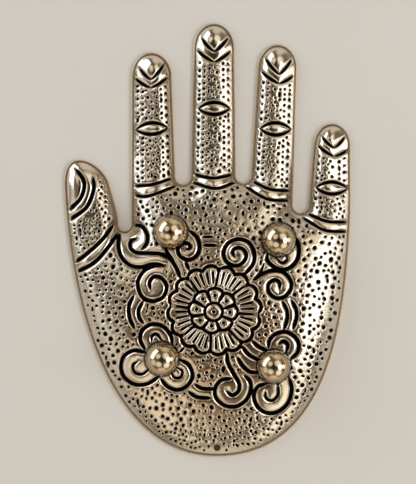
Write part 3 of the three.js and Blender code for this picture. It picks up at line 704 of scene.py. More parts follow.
smooth_areas = []
for marks in FINGER_MARKS.values():
    left, right, bow = marks["lens"]
    smooth_areas.append(band_between(bowed(left, right, bow), bowed(left, right, -bow)))
    inner, outer = marks["chevrons"]
    tip_left = shifted(inner[0], -TIP_ASIDE, TIP_UP)
    tip_right = shifted(inner[2], TIP_ASIDE, TIP_UP)
    smooth_areas.append([*outer, shifted(outer[2], *TIP_SHOULDER), tip_right, tip_left])
    upper, lower = marks["rings"]
    smooth_areas.append(band_between(smooth_curve(upper), smooth_curve(lower)))
for one, other in SMOOTH_BANDS:
    smooth_areas.append(band_between(smooth_curve(SCROLLS[one]), smooth_curve(SCROLLS[other])))
nail_inner, nail_outer = SCROLLS["thumb_nail_inner"], SCROLLS["thumb_nail_outer"]
smooth_areas.append([*nail_inner, *THUMB_OUTER_CORNERS])
smooth_areas.append([THUMB_TOP, *nail_inner[:2], nail_outer[0], *THUMB_INNER_CORNERS])
print(len(smooth_areas), "smooth areas between lines")

# %% Smooth discs inside the scrolls
DISC_STEPS = 24
DISC_TURN = 6.1
SCROLL_DISCS = (
    (-25.8, -0.8, 5.2), (-6.7, -2.6, 4.2), (11.0, -4.4, 5.6), (26.3, -4.2, 6.0), (24.6, -15.6, 4.8),
    (26.6, -37.2, 5.2), (9.0, -52.8, 5.9), (22.8, -54.6, 6.2), (-17.9, -35.0, 5.5), (-24.2, -44.3, 6.0),
    (-11.2, -46.6, 5.8), (-19.2, -15.2, 5.4),
)
disc_turns = np.linspace(0, DISC_TURN, DISC_STEPS)
for x, y, radius in SCROLL_DISCS:
    smooth_areas.append([(x + radius * math.cos(t), y + radius * math.sin(t)) for t in disc_turns])
print(len(smooth_areas), "smooth areas")

# %% Try places for dots
DOT_TRIES = 45000
DOT_INSET = 2.0
EDGE_ROWS = ((2.2, 2.5), (3.95, 2.0))
ROW_JITTER = 0.3
ROW_SLACK = 0.2
PALM_TOP = 14.0
THUMB_CLEAR = 4
chance = random.Random(12)
low, high = outline.min(axis=0), outline.max(axis=0)


def normals_of(line, closed=False):
    if closed:
        along = np.roll(line, -1, axis=0) - np.roll(line, 1, axis=0)
    else:
        along = np.gradient(line, axis=0)
    return np.column_stack([-along[:, 1], along[:, 0]]) / np.maximum(np.hypot(*along.T), TINY)[:, None]


def chance_place():
    return chance.uniform(low[0], high[0]), chance.uniform(low[1], high[1])


tries = np.array([chance_place() for _ in range(DOT_TRIES)])
inward = normals_of(outline, closed=True)
outline_run = walked(outline)
edge_rows = []
for inset, step in EDGE_ROWS:
    stops = [stop + chance.uniform(-ROW_JITTER, ROW_JITTER) for stop in np.arange(0, outline_run[-1], step)]
    row = at_marks(outline + inset * inward, outline_run, stops)
    on_finger = (row[:, 1] > PALM_TOP) & (row[:, 0] > THUMB_BEND[0] + THUMB_CLEAR)
    edge_rows.append(row[on_finger & (edge_distance(row) > inset - ROW_SLACK)])
tries = np.vstack([*edge_rows, tries])
tries = tries[is_inside(tries)]
tries = tries[edge_distance(tries) > DOT_INSET]
print(len(tries), "places to try,", sum(len(row) for row in edge_rows), "of them in rows")

# %% Give each try a size
FINE_PITCH = 1.5
COARSE_PITCH = 2.02
FINE_RADII = (0.37, 0.60)
COARSE_RADII = (0.42, 0.86)
COARSE_BLEND = (0.8, 1.05)
DOT_CLEAR = 0.3
STICK_HOLE = np.array([3.1, -72.4]) - outline_middle
STICK_RADIUS = 1.05
STICK_CLEAR = 1.5
SEAT_CLEAR = 0.8
from_crown = np.hypot(*((tries - PALM_MIDDLE) / PALM_REACH).T)
coarse = 1 - smooth_step(from_crown, *COARSE_BLEND)
pitches = FINE_PITCH + coarse * (COARSE_PITCH - FINE_PITCH)
sizes = np.array([chance.random() for _ in tries])
fine_sizes = FINE_RADII[0] + sizes * (FINE_RADII[1] - FINE_RADII[0])
coarse_sizes = COARSE_RADII[0] + sizes * (COARSE_RADII[1] - COARSE_RADII[0])
radii = fine_sizes + coarse * (coarse_sizes - fine_sizes) + WALL / 2
keep = edge_gap(tries, grooves) > radii + DOT_CLEAR
keep &= away_from(tries, ROSETTE) > PETAL_RADIUS + LOBE
keep &= away_from(tries, STICK_HOLE) > STICK_RADIUS + STICK_CLEAR
for area in smooth_areas:
    keep &= ~in_polygon(tries, area)
for seat in ball_places.values():
    keep &= away_from(tries, seat) > SEAT_RADIUS + SEAT_CLEAR
print(keep.sum(), "places on the punched ground")

# %% Punch the dots
DOT_CELL = 2.5
DOT_LENGTH = (0.0, 0.14)
DOT_LEAN = 0.12
APART_LEAST, APART_SPREAD = 0.8, 0.4
DOUBLE_STRIKES = 0.04
DOUBLE_LENGTH = 0.45
SEED_DOT = 0.84


def cell_of(place, size):
    return int(place[0] // size), int(place[1] // size)


def nearby(cells, place, size):
    """Whatever the cells hold in the cell of a place and in the eight round it."""
    column, row = cell_of(place, size)
    for i in (column - 1, column, column + 1):
        for j in (row - 1, row, row + 1):
            yield from cells.get((i, j), ())


dots = []
cells = {}
for place, pitch, radius, size in zip(tries[keep], pitches[keep], radii[keep], sizes[keep]):
    apart = pitch * (APART_LEAST + APART_SPREAD * size)
    if all(math.dist(place, other) > apart for other in nearby(cells, place, DOT_CELL)):
        cells.setdefault(cell_of(place, DOT_CELL), []).append(tuple(place))
        length = chance.uniform(*DOT_LENGTH)
        if chance.random() < DOUBLE_STRIKES:
            length += DOUBLE_LENGTH
        dots.append((*place, radius, chance.uniform(-DOT_LEAN, DOT_LEAN), length))
seed_middles = [polar(SEED_RING, angle, SEED_MIDDLE, SEED_STRETCH) for angle in seed_angles]
dots += [(*middle, SEED_DOT, 0.0, 0.0) for middle in [ROSETTE, *seed_middles]]
print(len(dots), "dots")

# %% [markdown]
# ## The flat drawing
# A chased line has to be in the mesh itself: its dark floor, its edge and the bright shoulder beside it
# each follow the line. Cutting a hundred grooves with Booleans would leave ragged edges, and a displaced
# grid would need millions of faces to be as crisp. So the sheet is first drawn flat, with rows of points
# along each line, and triangulated with mathutils' Delaunay function, which keeps the rows as edges. Then
# each point is lifted.

# %% Collect rows of points
CLOSEST = 0.12
places, rows = [], []
taken = {}


def is_free(place):
    near = nearby(taken, place, CLOSEST)
    return all((place[0] - x) ** 2 + (place[1] - y) ** 2 >= CLOSEST**2 for x, y in near)


def add_row(line, keep=None, closed=False):
    """Adds the kept points of a row, and an edge between each two that follow each other."""
    numbers = []
    for i, place in enumerate(line):
        if (keep is None or keep[i]) and is_free(place):
            taken.setdefault(cell_of(place, CLOSEST), []).append(tuple(place))
            numbers.append(len(places))
            places.append(tuple(place))
        else:
            numbers.append(None)
    pairs = list(zip(numbers, numbers[1:]))
    if closed:
        pairs.append((numbers[-1], numbers[0]))
    rows.extend((a, b) for a, b in pairs if a is not None and b is not None)
    return numbers


def add_rows(lines, keep, closed=False):
    """Adds several rows, with what to keep of them in one list. A single point is never closed."""
    begin = 0
    for line in lines:
        add_row(line, keep[begin : begin + len(line)], closed and len(line) > 1)
        begin += len(line)


print("points stay", CLOSEST, "mm apart")

# %% Rows along the border and the holes
SCREW_HOLE = 1.65
HOLE_SIDES = 24
STICK_RIM = 0.3
BORDER_ROUND = 0.2
BORDER_INNER = 0.25
BORDER_ROWS = 4
EDGE_SHARES = (0, 0.04, 0.14, 0.27, 0.42, 0.6, 0.8, 1)
SLACK = 0.03
holes = [(seat, SCREW_HOLE) for seat in ball_places.values()] + [(STICK_HOLE, STICK_RADIUS)]


def circle(middle, radius, sides, turn=0.0):
    angle = turn + np.arange(sides) * 2 * math.pi / sides
    return np.array(middle) + radius * np.column_stack([np.cos(angle), np.sin(angle)])


def add_edges():
    """Adds the outline and the rims of the holes, and returns the numbers of their points."""
    border = add_row(outline, closed=True)
    return border, [add_row(circle(middle, radius, HOLE_SIDES), closed=True) for middle, radius in holes]


def add_inset_rows(insets, is_wanted):
    """Adds rows along the outline, so far in from it, where they are wanted and don't run into others."""
    for inset in insets:
        line = outline + inset * inward
        add_row(line, is_wanted(line) & (edge_distance(line) > inset - SLACK), closed=True)


border_numbers, hole_numbers = add_edges()
add_row(circle(STICK_HOLE, STICK_RADIUS + STICK_RIM, HOLE_SIDES), closed=True)
insets = [BORDER_ROUND, FLANGE - BORDER_INNER] + [FLANGE + EDGE_RUN * share for share in EDGE_SHARES]
add_inset_rows(insets[:BORDER_ROWS], is_inside)
print(len(places), "points on the border")

# %% Rows along the grooves
LIP = 0.45
LIP_MIDWAY = 0.45
THINNEST = 0.05
CREASE = FLANGE + 0.35


def groove_rows(line, half):
    """Offset rows of a groove, as (places, distance outside the groove's edge)."""
    side = normals_of(line)
    same = np.ones(len(line))
    for beyond in (-half, -WALL * same, 0 * same, LIP * LIP_MIDWAY * same, LIP * same):
        away = np.maximum(half + beyond, 0)
        if away.max() == 0:
            yield line, beyond
            continue
        usable = np.where(away > THINNEST, beyond, np.nan)
        yield line + away[:, None] * side, usable
        yield line - away[:, None] * side, usable


def groove_wanted(line, beyond):
    """True where a place is no nearer to another groove than to its own, and well inside the border."""
    wanted = ~np.isnan(beyond) & is_inside(line)
    wanted &= edge_gap(line, grooves) > np.nan_to_num(beyond) - SLACK
    wanted &= edge_distance(line) > CREASE
    for seat in ball_places.values():
        wanted &= away_from(line, seat) > SEAT_RADIUS
    return wanted


offset_rows = [row for line, half in grooves for row in groove_rows(line, half)]
offset_lines = [line for line, beyond in offset_rows]
beyonds = [beyond for line, beyond in offset_rows]
add_rows(offset_lines, groove_wanted(np.vstack(offset_lines), np.concatenate(beyonds)))
print(len(places), "points with the grooves")

# %% Rings round the dots
DOT_LIP = 0.28
FLOOR_SIDES, RIM_SIDES = 6, 7
RING_CLEAR = 0.1
dot_rings = []
for x, y, radius, lean, length in dots:
    dot_rings.append(np.array([[x, y]]))
    for ring, sides in ((radius - WALL, FLOOR_SIDES), (radius, RIM_SIDES), (radius + DOT_LIP, RIM_SIDES)):
        around = circle((0, 0), ring, sides, turn=x + y)
        reach = around[:, 1] / ring
        dot_rings.append(around + np.column_stack([x + lean * reach, y + length * reach]))
add_rows(dot_rings, edge_gap(np.vstack(dot_rings), grooves) > RING_CLEAR, closed=True)
print(len(places), "points with the dots")

# %% Plain ground
GROUND_PITCH = 1.15
LATTICE_ROW = 0.866
CLEAR_OF_LINE, CLEAR_OF_DOT = 0.35, 0.25
SHORTEST = 0.001
GROUND_INSET = 0.8
HOLE_CLEAR = 0.5
CONTACT = 6.8
CONTACT_FADE = 0.6
CONTACT_SIDES = 60
dot_lines = []
for x, y, radius, lean, length in dots:
    ends = [[x - lean, y - length], [x + lean, y + length + SHORTEST]]
    dot_lines.append((np.array(ends), np.full(2, radius)))


def clear_ground(line):
    clear = is_inside(line) & (edge_gap(line, grooves) > LIP + CLEAR_OF_LINE)
    return clear & (edge_gap(line, dot_lines) > DOT_LIP + CLEAR_OF_DOT)


def lattice(pitch):
    """Places in staggered rows all over the drawing."""
    found = []
    for row in range(int((high[1] - low[1]) / (pitch * LATTICE_ROW)) + 1):
        for column in range(int((high[0] - low[0]) / pitch) + 1):
            aside = (column + 0.5 * (row % 2)) * pitch
            found.append((low[0] + aside, low[1] + row * pitch * LATTICE_ROW))
    return np.array(found)


add_inset_rows(insets[BORDER_ROWS:], clear_ground)
for seat in ball_places.values():
    for radius in (CONTACT - CONTACT_FADE, CONTACT):
        line = circle(seat, radius, CONTACT_SIDES)
        add_row(line, clear_ground(line), closed=True)
ground = lattice(GROUND_PITCH)
on_ground = clear_ground(ground) & (edge_distance(ground) > FLANGE + GROUND_INSET)
for hole, _ in holes:
    on_ground &= away_from(ground, hole) > SCREW_HOLE + HOLE_CLEAR
for place in ground[on_ground]:
    add_row([place])
print(len(places), "points in the drawing,", len(rows), "edges")

# %% Triangulate the drawing
MERGE = 1e-5
HOLE_SHARE = 0.98


def triangulated():
    """The drawing's points and triangles, without those outside the outline or in a hole."""
    drawn = delaunay_2d_cdt([Vector(place) for place in places], rows, [], 0, MERGE)
    points = np.array([tuple(place) for place in drawn[0]])
    numbers = np.array(drawn[2])
    middles = points[numbers].mean(axis=1)
    inside = is_inside(middles)
    for hole, radius in holes:
        inside &= away_from(middles, hole) > radius * HOLE_SHARE
    return points, numbers[inside]


flat, triangles = triangulated()
print(len(flat), "points and", len(triangles), "triangles on the worked face")

# %% [markdown]
# ## Lifting the drawing
# Each point gets the height of the pressed sheet, less the depth of its groove or dot. A groove falls
# away gently at its shoulder, which is what catches the light, and then steeply to a dark floor. Seeds,
# the button, lenses and nails are worked up a little from behind. What the material needs to know goes
# into attributes: how black the metal is, with painted shade in the crease, round the balls and at the
# stick hole; how near a line, for painted shade beside it; how far into the border; and where it is
# rubbed with a painted highlight, coppery or smooth.

# %% Depth of the chasing
SHOULDER = 0.48
SHOULDER_DROP = 0.19
WALL_SLOPE = 0.85
DOT_RIM = 0.11
DOT_RIM_REACH = 0.8


def carved(gap):
    """Depth at a distance outside a groove's edge: a soft shoulder, then a steep wall."""
    soft = SHOULDER_DROP * np.clip(1 - gap / SHOULDER, 0, 1) ** 2
    return np.where(gap < 0, SHOULDER_DROP - WALL_SLOPE * gap, soft)


def punched(gap):
    """Depth at a distance outside a dot's edge: a hollow with a raised rim round it."""
    rim = DOT_RIM * np.minimum(gap / DOT_LIP, (DOT_RIM_REACH - gap) / (DOT_RIM_REACH - DOT_LIP))
    return np.where(gap < 0, -WALL_SLOPE * gap, -np.clip(rim, 0, None))


groove_gap = edge_gap(flat, grooves)
dot_gap = edge_gap(flat, dot_lines)
depth = np.maximum(carved(groove_gap), 0) + punched(dot_gap) * (groove_gap > 0)
print("deepest cut", depth.max(), "mm")

# %% Relief worked up from behind
BUTTON_DOME = ((2.9, 2.9), 0.3)
SEED_DOME = ((2.2, 2.2), 0.25)
LENS_RISE = 0.45
NAIL_DOME = ((4.7, 5.8), 0.55)
NAIL_UP = 4.8
THUMB_NAIL = (-47.0, 18.0)
THUMB_NAIL_DOME = ((3.6, 7.0), 0.3)


def dome(middle, radii, rise):
    away = ((flat - middle) / np.array(radii)) ** 2
    return rise * np.clip(1 - away.sum(axis=1), 0, 1)


relief = dome(ROSETTE, *BUTTON_DOME)
for angle in seed_angles:
    relief += dome(polar(SEED_RING, angle, SEED_MIDDLE), *SEED_DOME)
for marks in FINGER_MARKS.values():
    left, right, bow = marks["lens"]
    middle = (np.array(left) + np.array(right)) / 2
    relief += dome(middle, (math.dist(left, right) / 2, bow), LENS_RISE)
    left, point, right = marks["chevrons"][0]
    relief += dome(shifted(point, 0, NAIL_UP), *NAIL_DOME)
relief += dome(THUMB_NAIL, *THUMB_NAIL_DOME)
print("highest relief", relief.max(), "mm")

# %% Lift the worked face
RUN_OUT_FROM, RUN_OUT_TO = FLANGE + 0.1, FLANGE + 0.9
SEAT_FADE_FROM, SEAT_FADE_TO = SEAT_RADIUS - 0.6, SEAT_RADIUS + 0.4
inset = np.where(is_inside(flat), edge_distance(flat), 0)
on_border = np.zeros(len(flat), bool)
on_border[: len(outline)] = True
inset[on_border] = 0
run_out = smooth_step(inset, RUN_OUT_FROM, RUN_OUT_TO)
seat_fade = np.ones(len(flat))
for seat in ball_places.values():
    seat_fade *= smooth_step(away_from(flat, seat), SEAT_FADE_FROM, SEAT_FADE_TO)
worked = SHEET + pressed_height(flat, inset, FLANGE, EDGE_RUN)
worked += (relief - depth) * run_out * seat_fade
worked[on_border] = SHEET - BORDER_ROUND
print("worked face from", worked.min(), "to", worked.max(), "mm")

# %% Where the metal is black, and where shade is painted
FINGER_CREASE = (-10, 20)
HEEL_CREASE = (50, 66)
# painted shade: how dark the line in the crease between border and rolled edge is painted
CREASE_SHADE, CREASE_MORE = 0.65, 0.3
CREASE_SHIFT, CREASE_HALF = 0.02, 0.24
# painted shadow: how dark the ring round each ball is painted
CONTACT_SHADOW = 0.92
# painted shade: how far the dark round the stick hole reaches
STICK_FADE = 0.2


def ink_of(gap):
    return np.clip(-gap / WALL, 0, 1)


# painted shade: a dark line in the crease where the border meets the rolled edge, darker on the fingers and
# at the heel
on_fingers = smooth_step(flat[:, 1], *FINGER_CREASE)
at_heel = smooth_step(-flat[:, 1], *HEEL_CREASE)
crease_dark = CREASE_SHADE + CREASE_MORE * np.maximum(on_fingers, at_heel)
painted_crease_shade = np.clip(1 - np.abs(inset - FLANGE - CREASE_SHIFT) / CREASE_HALF, 0, 1) * crease_dark
# blackened metal in the lines and dots, together with the painted shade of the crease
black_and_painted_shade = np.maximum(np.maximum(ink_of(groove_gap), ink_of(dot_gap)) * run_out * seat_fade, painted_crease_shade)
# painted shadow: a dark ring on the plate round each ball, where it sits
for seat in ball_places.values():
    black_and_painted_shade = np.maximum(black_and_painted_shade, CONTACT_SHADOW * np.clip((CONTACT - away_from(flat, seat)) / CONTACT_FADE, 0, 1))
# painted shade just round the rim of the stick hole
from_rim = away_from(flat, STICK_HOLE) - STICK_RADIUS
black_and_painted_shade = np.maximum(black_and_painted_shade, np.clip(1.0 - from_rim / STICK_FADE, 0, 1))
print("mean blackness", round(float(black_and_painted_shade.mean()), 2))

# %% Painted shade by the lines, rubbed lips with a painted highlight, coppery and smooth places
SHADE_NEAR_LINES_REACH = 1.5
LIP_MIDDLE = 0.15
LIP_HALF = 0.28
DOT_LIP_SHARE = 0.8
WARM_MIDDLE = np.array([0.0, -34.0])
WARM_REACH = np.array([33.0, 39.0])
WARM_FADE = (0.5, 1.2)
BORDER_START = 0.05
BORDER_FADE = 0.2


def lip_of(gap):
    return np.clip(1 - np.abs(gap - LIP_MIDDLE) / LIP_HALF, 0, 1)


# painted shade: the metal is made browner and darker the nearer it is to a line
shade_near_lines = np.clip(1 - groove_gap / SHADE_NEAR_LINES_REACH, 0, 1)
# the lips of lines and dots are rubbed bright, and the lighter colour also paints a highlight along them
lip_wear_and_highlight = np.maximum(lip_of(groove_gap), DOT_LIP_SHARE * lip_of(dot_gap)) * run_out * seat_fade
warm = 1 - smooth_step(np.hypot(*((flat - WARM_MIDDLE) / WARM_REACH).T), *WARM_FADE)
border = np.clip((FLANGE - BORDER_START - inset) / BORDER_FADE, 0, 1)
polish = np.array(away_from(flat, PETAL_MIDDLE) < PETAL_RADIUS, float)
for area in smooth_areas:
    polish = np.maximum(polish, in_polygon(flat, area))
surface_marks = {"black_and_painted_shade": black_and_painted_shade, "shade_near_lines": shade_near_lines, "border": border, "polish": polish, "warm": warm, "lip_wear_and_highlight": lip_wear_and_highlight}
print("marks for the finish:", ", ".join(surface_marks))

# %% [markdown]
# ## The hollow side
# The back of the sheet is the inside of the pressing. It is drawn flat in the same way with fewer points,
# from the same outline and holes, lifted by the hollow's own formula, and turned to face down. The chased
# lines show through as faint ridges, as they do on thin sheet. A strip of faces along the outline and
# round each hole joins the two sides, so the sheet is closed.

# %% Draw and lift the hollow side
HOLLOW_PITCH = 1.3
SHOW_HEIGHT = 0.12
SHOW_REACH = 1.2
SHOW_BLEND = 2
places, rows, taken = [], [], {}
add_edges()
hollow_start, hollow_run = FLANGE + HOLLOW_SHIFT, EDGE_RUN - HOLLOW_SHIFT
add_inset_rows([BORDER_ROUND] + [hollow_start + hollow_run * share for share in EDGE_SHARES], is_inside)
places.extend(tuple(place) for place in lattice(HOLLOW_PITCH))
back_flat, back_triangles = triangulated()
back_triangles = back_triangles[:, ::-1]
back_inset = edge_distance(back_flat)
hollow = pressed_height(back_flat, back_inset, hollow_start, hollow_run)
show_through = SHOW_HEIGHT * np.clip(1 - np.maximum(edge_gap(back_flat, grooves), 0) / SHOW_REACH, 0, 1)
hollow -= show_through * smooth_step(back_inset, hollow_start, hollow_start + SHOW_BLEND)
hollow[: len(outline)] = BORDER_ROUND
print(len(back_flat), "points and", len(back_triangles), "triangles on the hollow side")

# %% Join both sides into one mesh
PLATE_SMOOTH = math.radians(38)
shift = len(flat)
corners = np.vstack([np.column_stack([flat, worked]), np.column_stack([back_flat, hollow])]) * MM
faces = [tuple(face) for face in triangles] + [tuple(face + shift) for face in back_triangles]


def activate(piece):
    """Makes a piece the only selected one, and the one that operators work on."""
    bpy.ops.object.select_all(action="DESELECT")
    piece.select_set(True)
    bpy.context.view_layer.objects.active = piece


def wall_between(numbers, outward):
    """Faces between the two sides along a ring that both start with, in the same order."""
    count = len(numbers)
    for i in range(count):
        a, b = numbers[i], numbers[(i + 1) % count]
        face = (a, a + shift, b + shift, b)
        faces.append(face if outward else face[::-1])


wall_between(border_numbers, True)
for numbers in hole_numbers:
    wall_between(numbers, False)
plate_mesh = bpy.data.meshes.new("hand_plate_chased")
plate_mesh.from_pydata(corners.tolist(), [], faces)
for name, values in surface_marks.items():
    layer = plate_mesh.attributes.new(name, "FLOAT", "POINT")
    layer.data.foreach_set("value", np.concatenate([values, np.zeros(len(back_flat))]))
plate_mesh.validate()
plate = bpy.data.objects.new("hand_plate_chased", plate_mesh)
bpy.context.collection.objects.link(plate)
activate(plate)
bpy.ops.object.mode_set(mode="EDIT")
bpy.ops.mesh.select_all(action="SELECT")
bpy.ops.mesh.delete_loose()
bpy.ops.object.mode_set(mode="OBJECT")
bpy.ops.object.shade_smooth_by_angle(angle=PLATE_SMOOTH)
plate.select_set(False)
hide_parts("hand_plate")
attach(plate, "root")
print("hand plate:", len(plate_mesh.vertices), "points,", len(plate_mesh.polygons), "faces")

# %% [markdown]
# ## The ball feet
# A ball is turned from bar and polished like a mirror, with a small flat where it sits and a tapped hole
# for its screw. It starts as an ico sphere, because its faces are even all over and a mirror shows every
# uneven one. The flat is cut with bisect, then inset and extruded inwards for the hole.

# %% Model one ball
BALL_RADIUS = 5.75
BALL_FINENESS = 6
SEAT_FLAT = 2.5
HOLE_DEPTH = 5.8
NEAR_SEAT = 0.1
FACING_DOWN = -0.99
PIECE_SMOOTH = math.radians(30)
SAME_PLACE = 1e-7


def start_editing(piece):
    activate(piece)
    bpy.ops.object.mode_set(mode="EDIT")
    bpy.ops.mesh.select_mode(type="FACE")


def select_faces(piece, test):
    """In edit mode, selects only the faces whose middle and normal pass the test."""
    bpy.ops.mesh.select_all(action="DESELECT")
    bpy.ops.object.mode_set(mode="OBJECT")
    for face in piece.data.polygons:
        face.select = test(face.center, face.normal)
    bpy.ops.object.mode_set(mode="EDIT")


def model_ball():
    middle = math.sqrt(BALL_RADIUS**2 - SEAT_FLAT**2)
    bpy.ops.mesh.primitive_ico_sphere_add(
        subdivisions=BALL_FINENESS, radius=BALL_RADIUS * MM, location=(0, 0, middle * MM)
    )
    ball = bpy.context.active_object
    bpy.ops.object.transform_apply(location=True)
    start_editing(ball)
    bpy.ops.mesh.select_all(action="SELECT")
    bpy.ops.mesh.bisect(
        plane_co=(0, 0, 0), plane_no=(0, 0, 1), use_fill=True, clear_inner=True, threshold=SAME_PLACE
    )
    select_faces(ball, lambda place, normal: normal.z < FACING_DOWN and place.z < NEAR_SEAT * MM)
    bpy.ops.mesh.inset(thickness=(SEAT_FLAT - SCREW_HOLE) * MM)
    bpy.ops.mesh.extrude_region_move(TRANSFORM_OT_translate={"value": (0, 0, HOLE_DEPTH * MM)})
    bpy.ops.object.mode_set(mode="OBJECT")
    bpy.ops.object.shade_smooth_by_angle(angle=PIECE_SMOOTH)
    ball.select_set(False)
    level = ball.data.attributes.new("level", "FLOAT", "POINT")
    for corner in ball.data.vertices:
        level.data[corner.index].value = (corner.co.z / MM - middle) / BALL_RADIUS
    return ball


pattern_ball = model_ball()
print("ball:", len(pattern_ball.data.polygons), "faces")

# %% Copy the ball to its four places
def copies(pattern, kind, height_of):
    """One copy of a piece for each ball, each with its own mesh at its place, in place of the CAD node."""
    made = []
    for name in BALL_NAMES:
        node = kind + "_" + name
        place = ball_places[name]
        piece = pattern.copy()
        piece.data = pattern.data.copy()
        piece.name = node + "_turned"
        piece.data.name = piece.name
        piece.data.transform(Matrix.Translation((place[0] * MM, place[1] * MM, height_of(node))))
        bpy.context.collection.objects.link(piece)
        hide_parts(node)
        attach(piece, "root")
        made.append(piece)
    bpy.data.objects.remove(pattern)
    return made


def lowest(node):
    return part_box(node)[0].z


def highest(node):
    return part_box(node)[1].z


balls = copies(pattern_ball, "ball", lowest)
print("balls:", [piece.name for piece in balls])

# %% [markdown]
# ## Washers and screws
# On the hollow side each ball is held by a round-head screw through a plain washer. The washer is a
# cylinder with its two ends inset and bridged, which opens the hole. The screw is one circle pulled
# downwards step by step: shank, shoulder, head and dome, and its slot is cut with a Boolean.

# %% Model the washer
WASHER_RADIUS = 3.5
WASHER_THICKNESS = 0.5
WASHER_SIDES = 48
WASHER_ROUND = 0.08
BEVEL_STEPS = 2
BEVEL_ANGLE = math.radians(40)
FACING_UP_OR_DOWN = 0.9


def bevel_edges(piece, width):
    """Rounds the sharp edges with a Bevel modifier, applied."""
    bevel = piece.modifiers.new("edge_round", "BEVEL")
    bevel.width = width * MM
    bevel.segments = BEVEL_STEPS
    bevel.limit_method = "ANGLE"
    bevel.angle_limit = BEVEL_ANGLE
    activate(piece)
    bpy.ops.object.modifier_apply(modifier=bevel.name)
    bpy.ops.object.shade_smooth_by_angle(angle=PIECE_SMOOTH)
    piece.select_set(False)


def model_washer():
    bpy.ops.mesh.primitive_cylinder_add(
        vertices=WASHER_SIDES, radius=WASHER_RADIUS * MM, depth=WASHER_THICKNESS * MM,
        location=(0, 0, -WASHER_THICKNESS / 2 * MM),
    )
    washer = bpy.context.active_object
    bpy.ops.object.transform_apply(location=True)
    start_editing(washer)
    select_faces(washer, lambda place, normal: abs(normal.z) > FACING_UP_OR_DOWN)
    bpy.ops.mesh.inset(thickness=(WASHER_RADIUS - SCREW_HOLE) * MM)
    bpy.ops.mesh.bridge_edge_loops()
    bpy.ops.object.mode_set(mode="OBJECT")
    bevel_edges(washer, WASHER_ROUND)
    return washer


washers = copies(model_washer(), "washer", highest)
print("washer:", len(washers[0].data.polygons), "faces")

# %% Model the screw
SHANK_RADIUS = 1.5
SHANK_LENGTH = 6.7
SHANK_CHAMFER = 0.375
HEAD_RADIUS = 2.8
HEAD_HEIGHT = 2.0
HEAD_SIDE = 0.7
HEAD_STEPS = 8
HEAD_TOP = 0.02
SCREW_SIDES = 40


def pull(drop, scale):
    """Extrudes the selected end downwards and widens or narrows it about the axis."""
    bpy.ops.mesh.extrude_region_move(TRANSFORM_OT_translate={"value": (0, 0, -drop * MM)})
    bpy.ops.transform.resize(value=(scale, scale, 1), center_override=(0, 0, 0))


def model_screw():
    tip = SHANK_RADIUS - SHANK_CHAMFER
    bpy.ops.mesh.primitive_circle_add(
        vertices=SCREW_SIDES, radius=tip * MM, fill_type="NGON", location=(0, 0, SHANK_LENGTH * MM)
    )
    screw = bpy.context.active_object
    bpy.ops.object.transform_apply(location=True)
    start_editing(screw)
    bpy.ops.mesh.select_all(action="SELECT")
    pull(SHANK_CHAMFER, SHANK_RADIUS / tip)
    pull(SHANK_LENGTH - SHANK_CHAMFER, 1)
    pull(0, HEAD_RADIUS / SHANK_RADIUS)
    pull(HEAD_SIDE, 1)
    radius, level = 1.0, 0.0
    for step in range(1, HEAD_STEPS + 1):
        turn = math.pi / 2 * step / HEAD_STEPS
        next_radius, next_level = max(math.cos(turn), HEAD_TOP), math.sin(turn)
        pull((next_level - level) * (HEAD_HEIGHT - HEAD_SIDE), next_radius / radius)
        radius, level = next_radius, next_level
    bpy.ops.mesh.select_all(action="SELECT")
    bpy.ops.mesh.remove_doubles(threshold=SAME_PLACE)
    bpy.ops.mesh.normals_make_consistent(inside=False)
    bpy.ops.object.mode_set(mode="OBJECT")
    return screw


pattern_screw = model_screw()
print("screw without its slot:", len(pattern_screw.data.polygons), "faces")

# %% Cut the screw's slot
SLOT_WIDTH = 0.8
SLOT_DEPTH = 0.9
SCREW_ROUND = 0.06


def cut_slot(screw):
    bpy.ops.mesh.primitive_cube_add(size=1, location=(0, 0, -HEAD_HEIGHT * MM))
    cutter = bpy.context.active_object
    cutter.scale = (3 * HEAD_RADIUS * MM, SLOT_WIDTH * MM, 2 * SLOT_DEPTH * MM)
    bpy.ops.object.transform_apply(scale=True)
    cut = screw.modifiers.new("slot", "BOOLEAN")
    cut.object = cutter
    cut.operation = "DIFFERENCE"
    activate(screw)
    bpy.ops.object.modifier_apply(modifier=cut.name)
    bpy.data.objects.remove(cutter)


cut_slot(pattern_screw)
bevel_edges(pattern_screw, SCREW_ROUND)
screws = copies(pattern_screw, "screw", lambda node: highest(node) - SHANK_LENGTH * MM)
print("screw:", len(screws[0].data.polygons), "faces")

# %% [markdown]
# ## Writing materials as expressions
# A node material is a small program. Wrapping a socket in a class that knows plus, minus and times lets
# the program be written as a formula, and every operation adds its Math node. All other nodes come from
# one method of the graph. A finish is a graph of a material, and the room's light is written with a graph
# as well.

# %% Socket arithmetic
class Value:
    """A number that varies over a surface: one output socket of a node."""

    def __init__(self, graph, socket):
        self.graph = graph
        self.socket = socket

    def join(self, operation, first, second):
        return self.graph.node("ShaderNodeMath", {"operation": operation}, {0: first, 1: second})

    def __add__(self, other):
        return self.join("ADD", self, other)

    def __radd__(self, other):
        return self.join("ADD", other, self)

    def __sub__(self, other):
        return self.join("SUBTRACT", self, other)

    def __rsub__(self, other):
        return self.join("SUBTRACT", other, self)

    def __mul__(self, other):
        return self.join("MULTIPLY", self, other)

    def __rmul__(self, other):
        return self.join("MULTIPLY", other, self)

    def clamped(self):
        return self.join("MINIMUM", self.join("MAXIMUM", self, 0.0), 1.0)


print("operators of a value:", [name for name in vars(Value) if name.endswith(("add__", "sub__", "mul__"))])

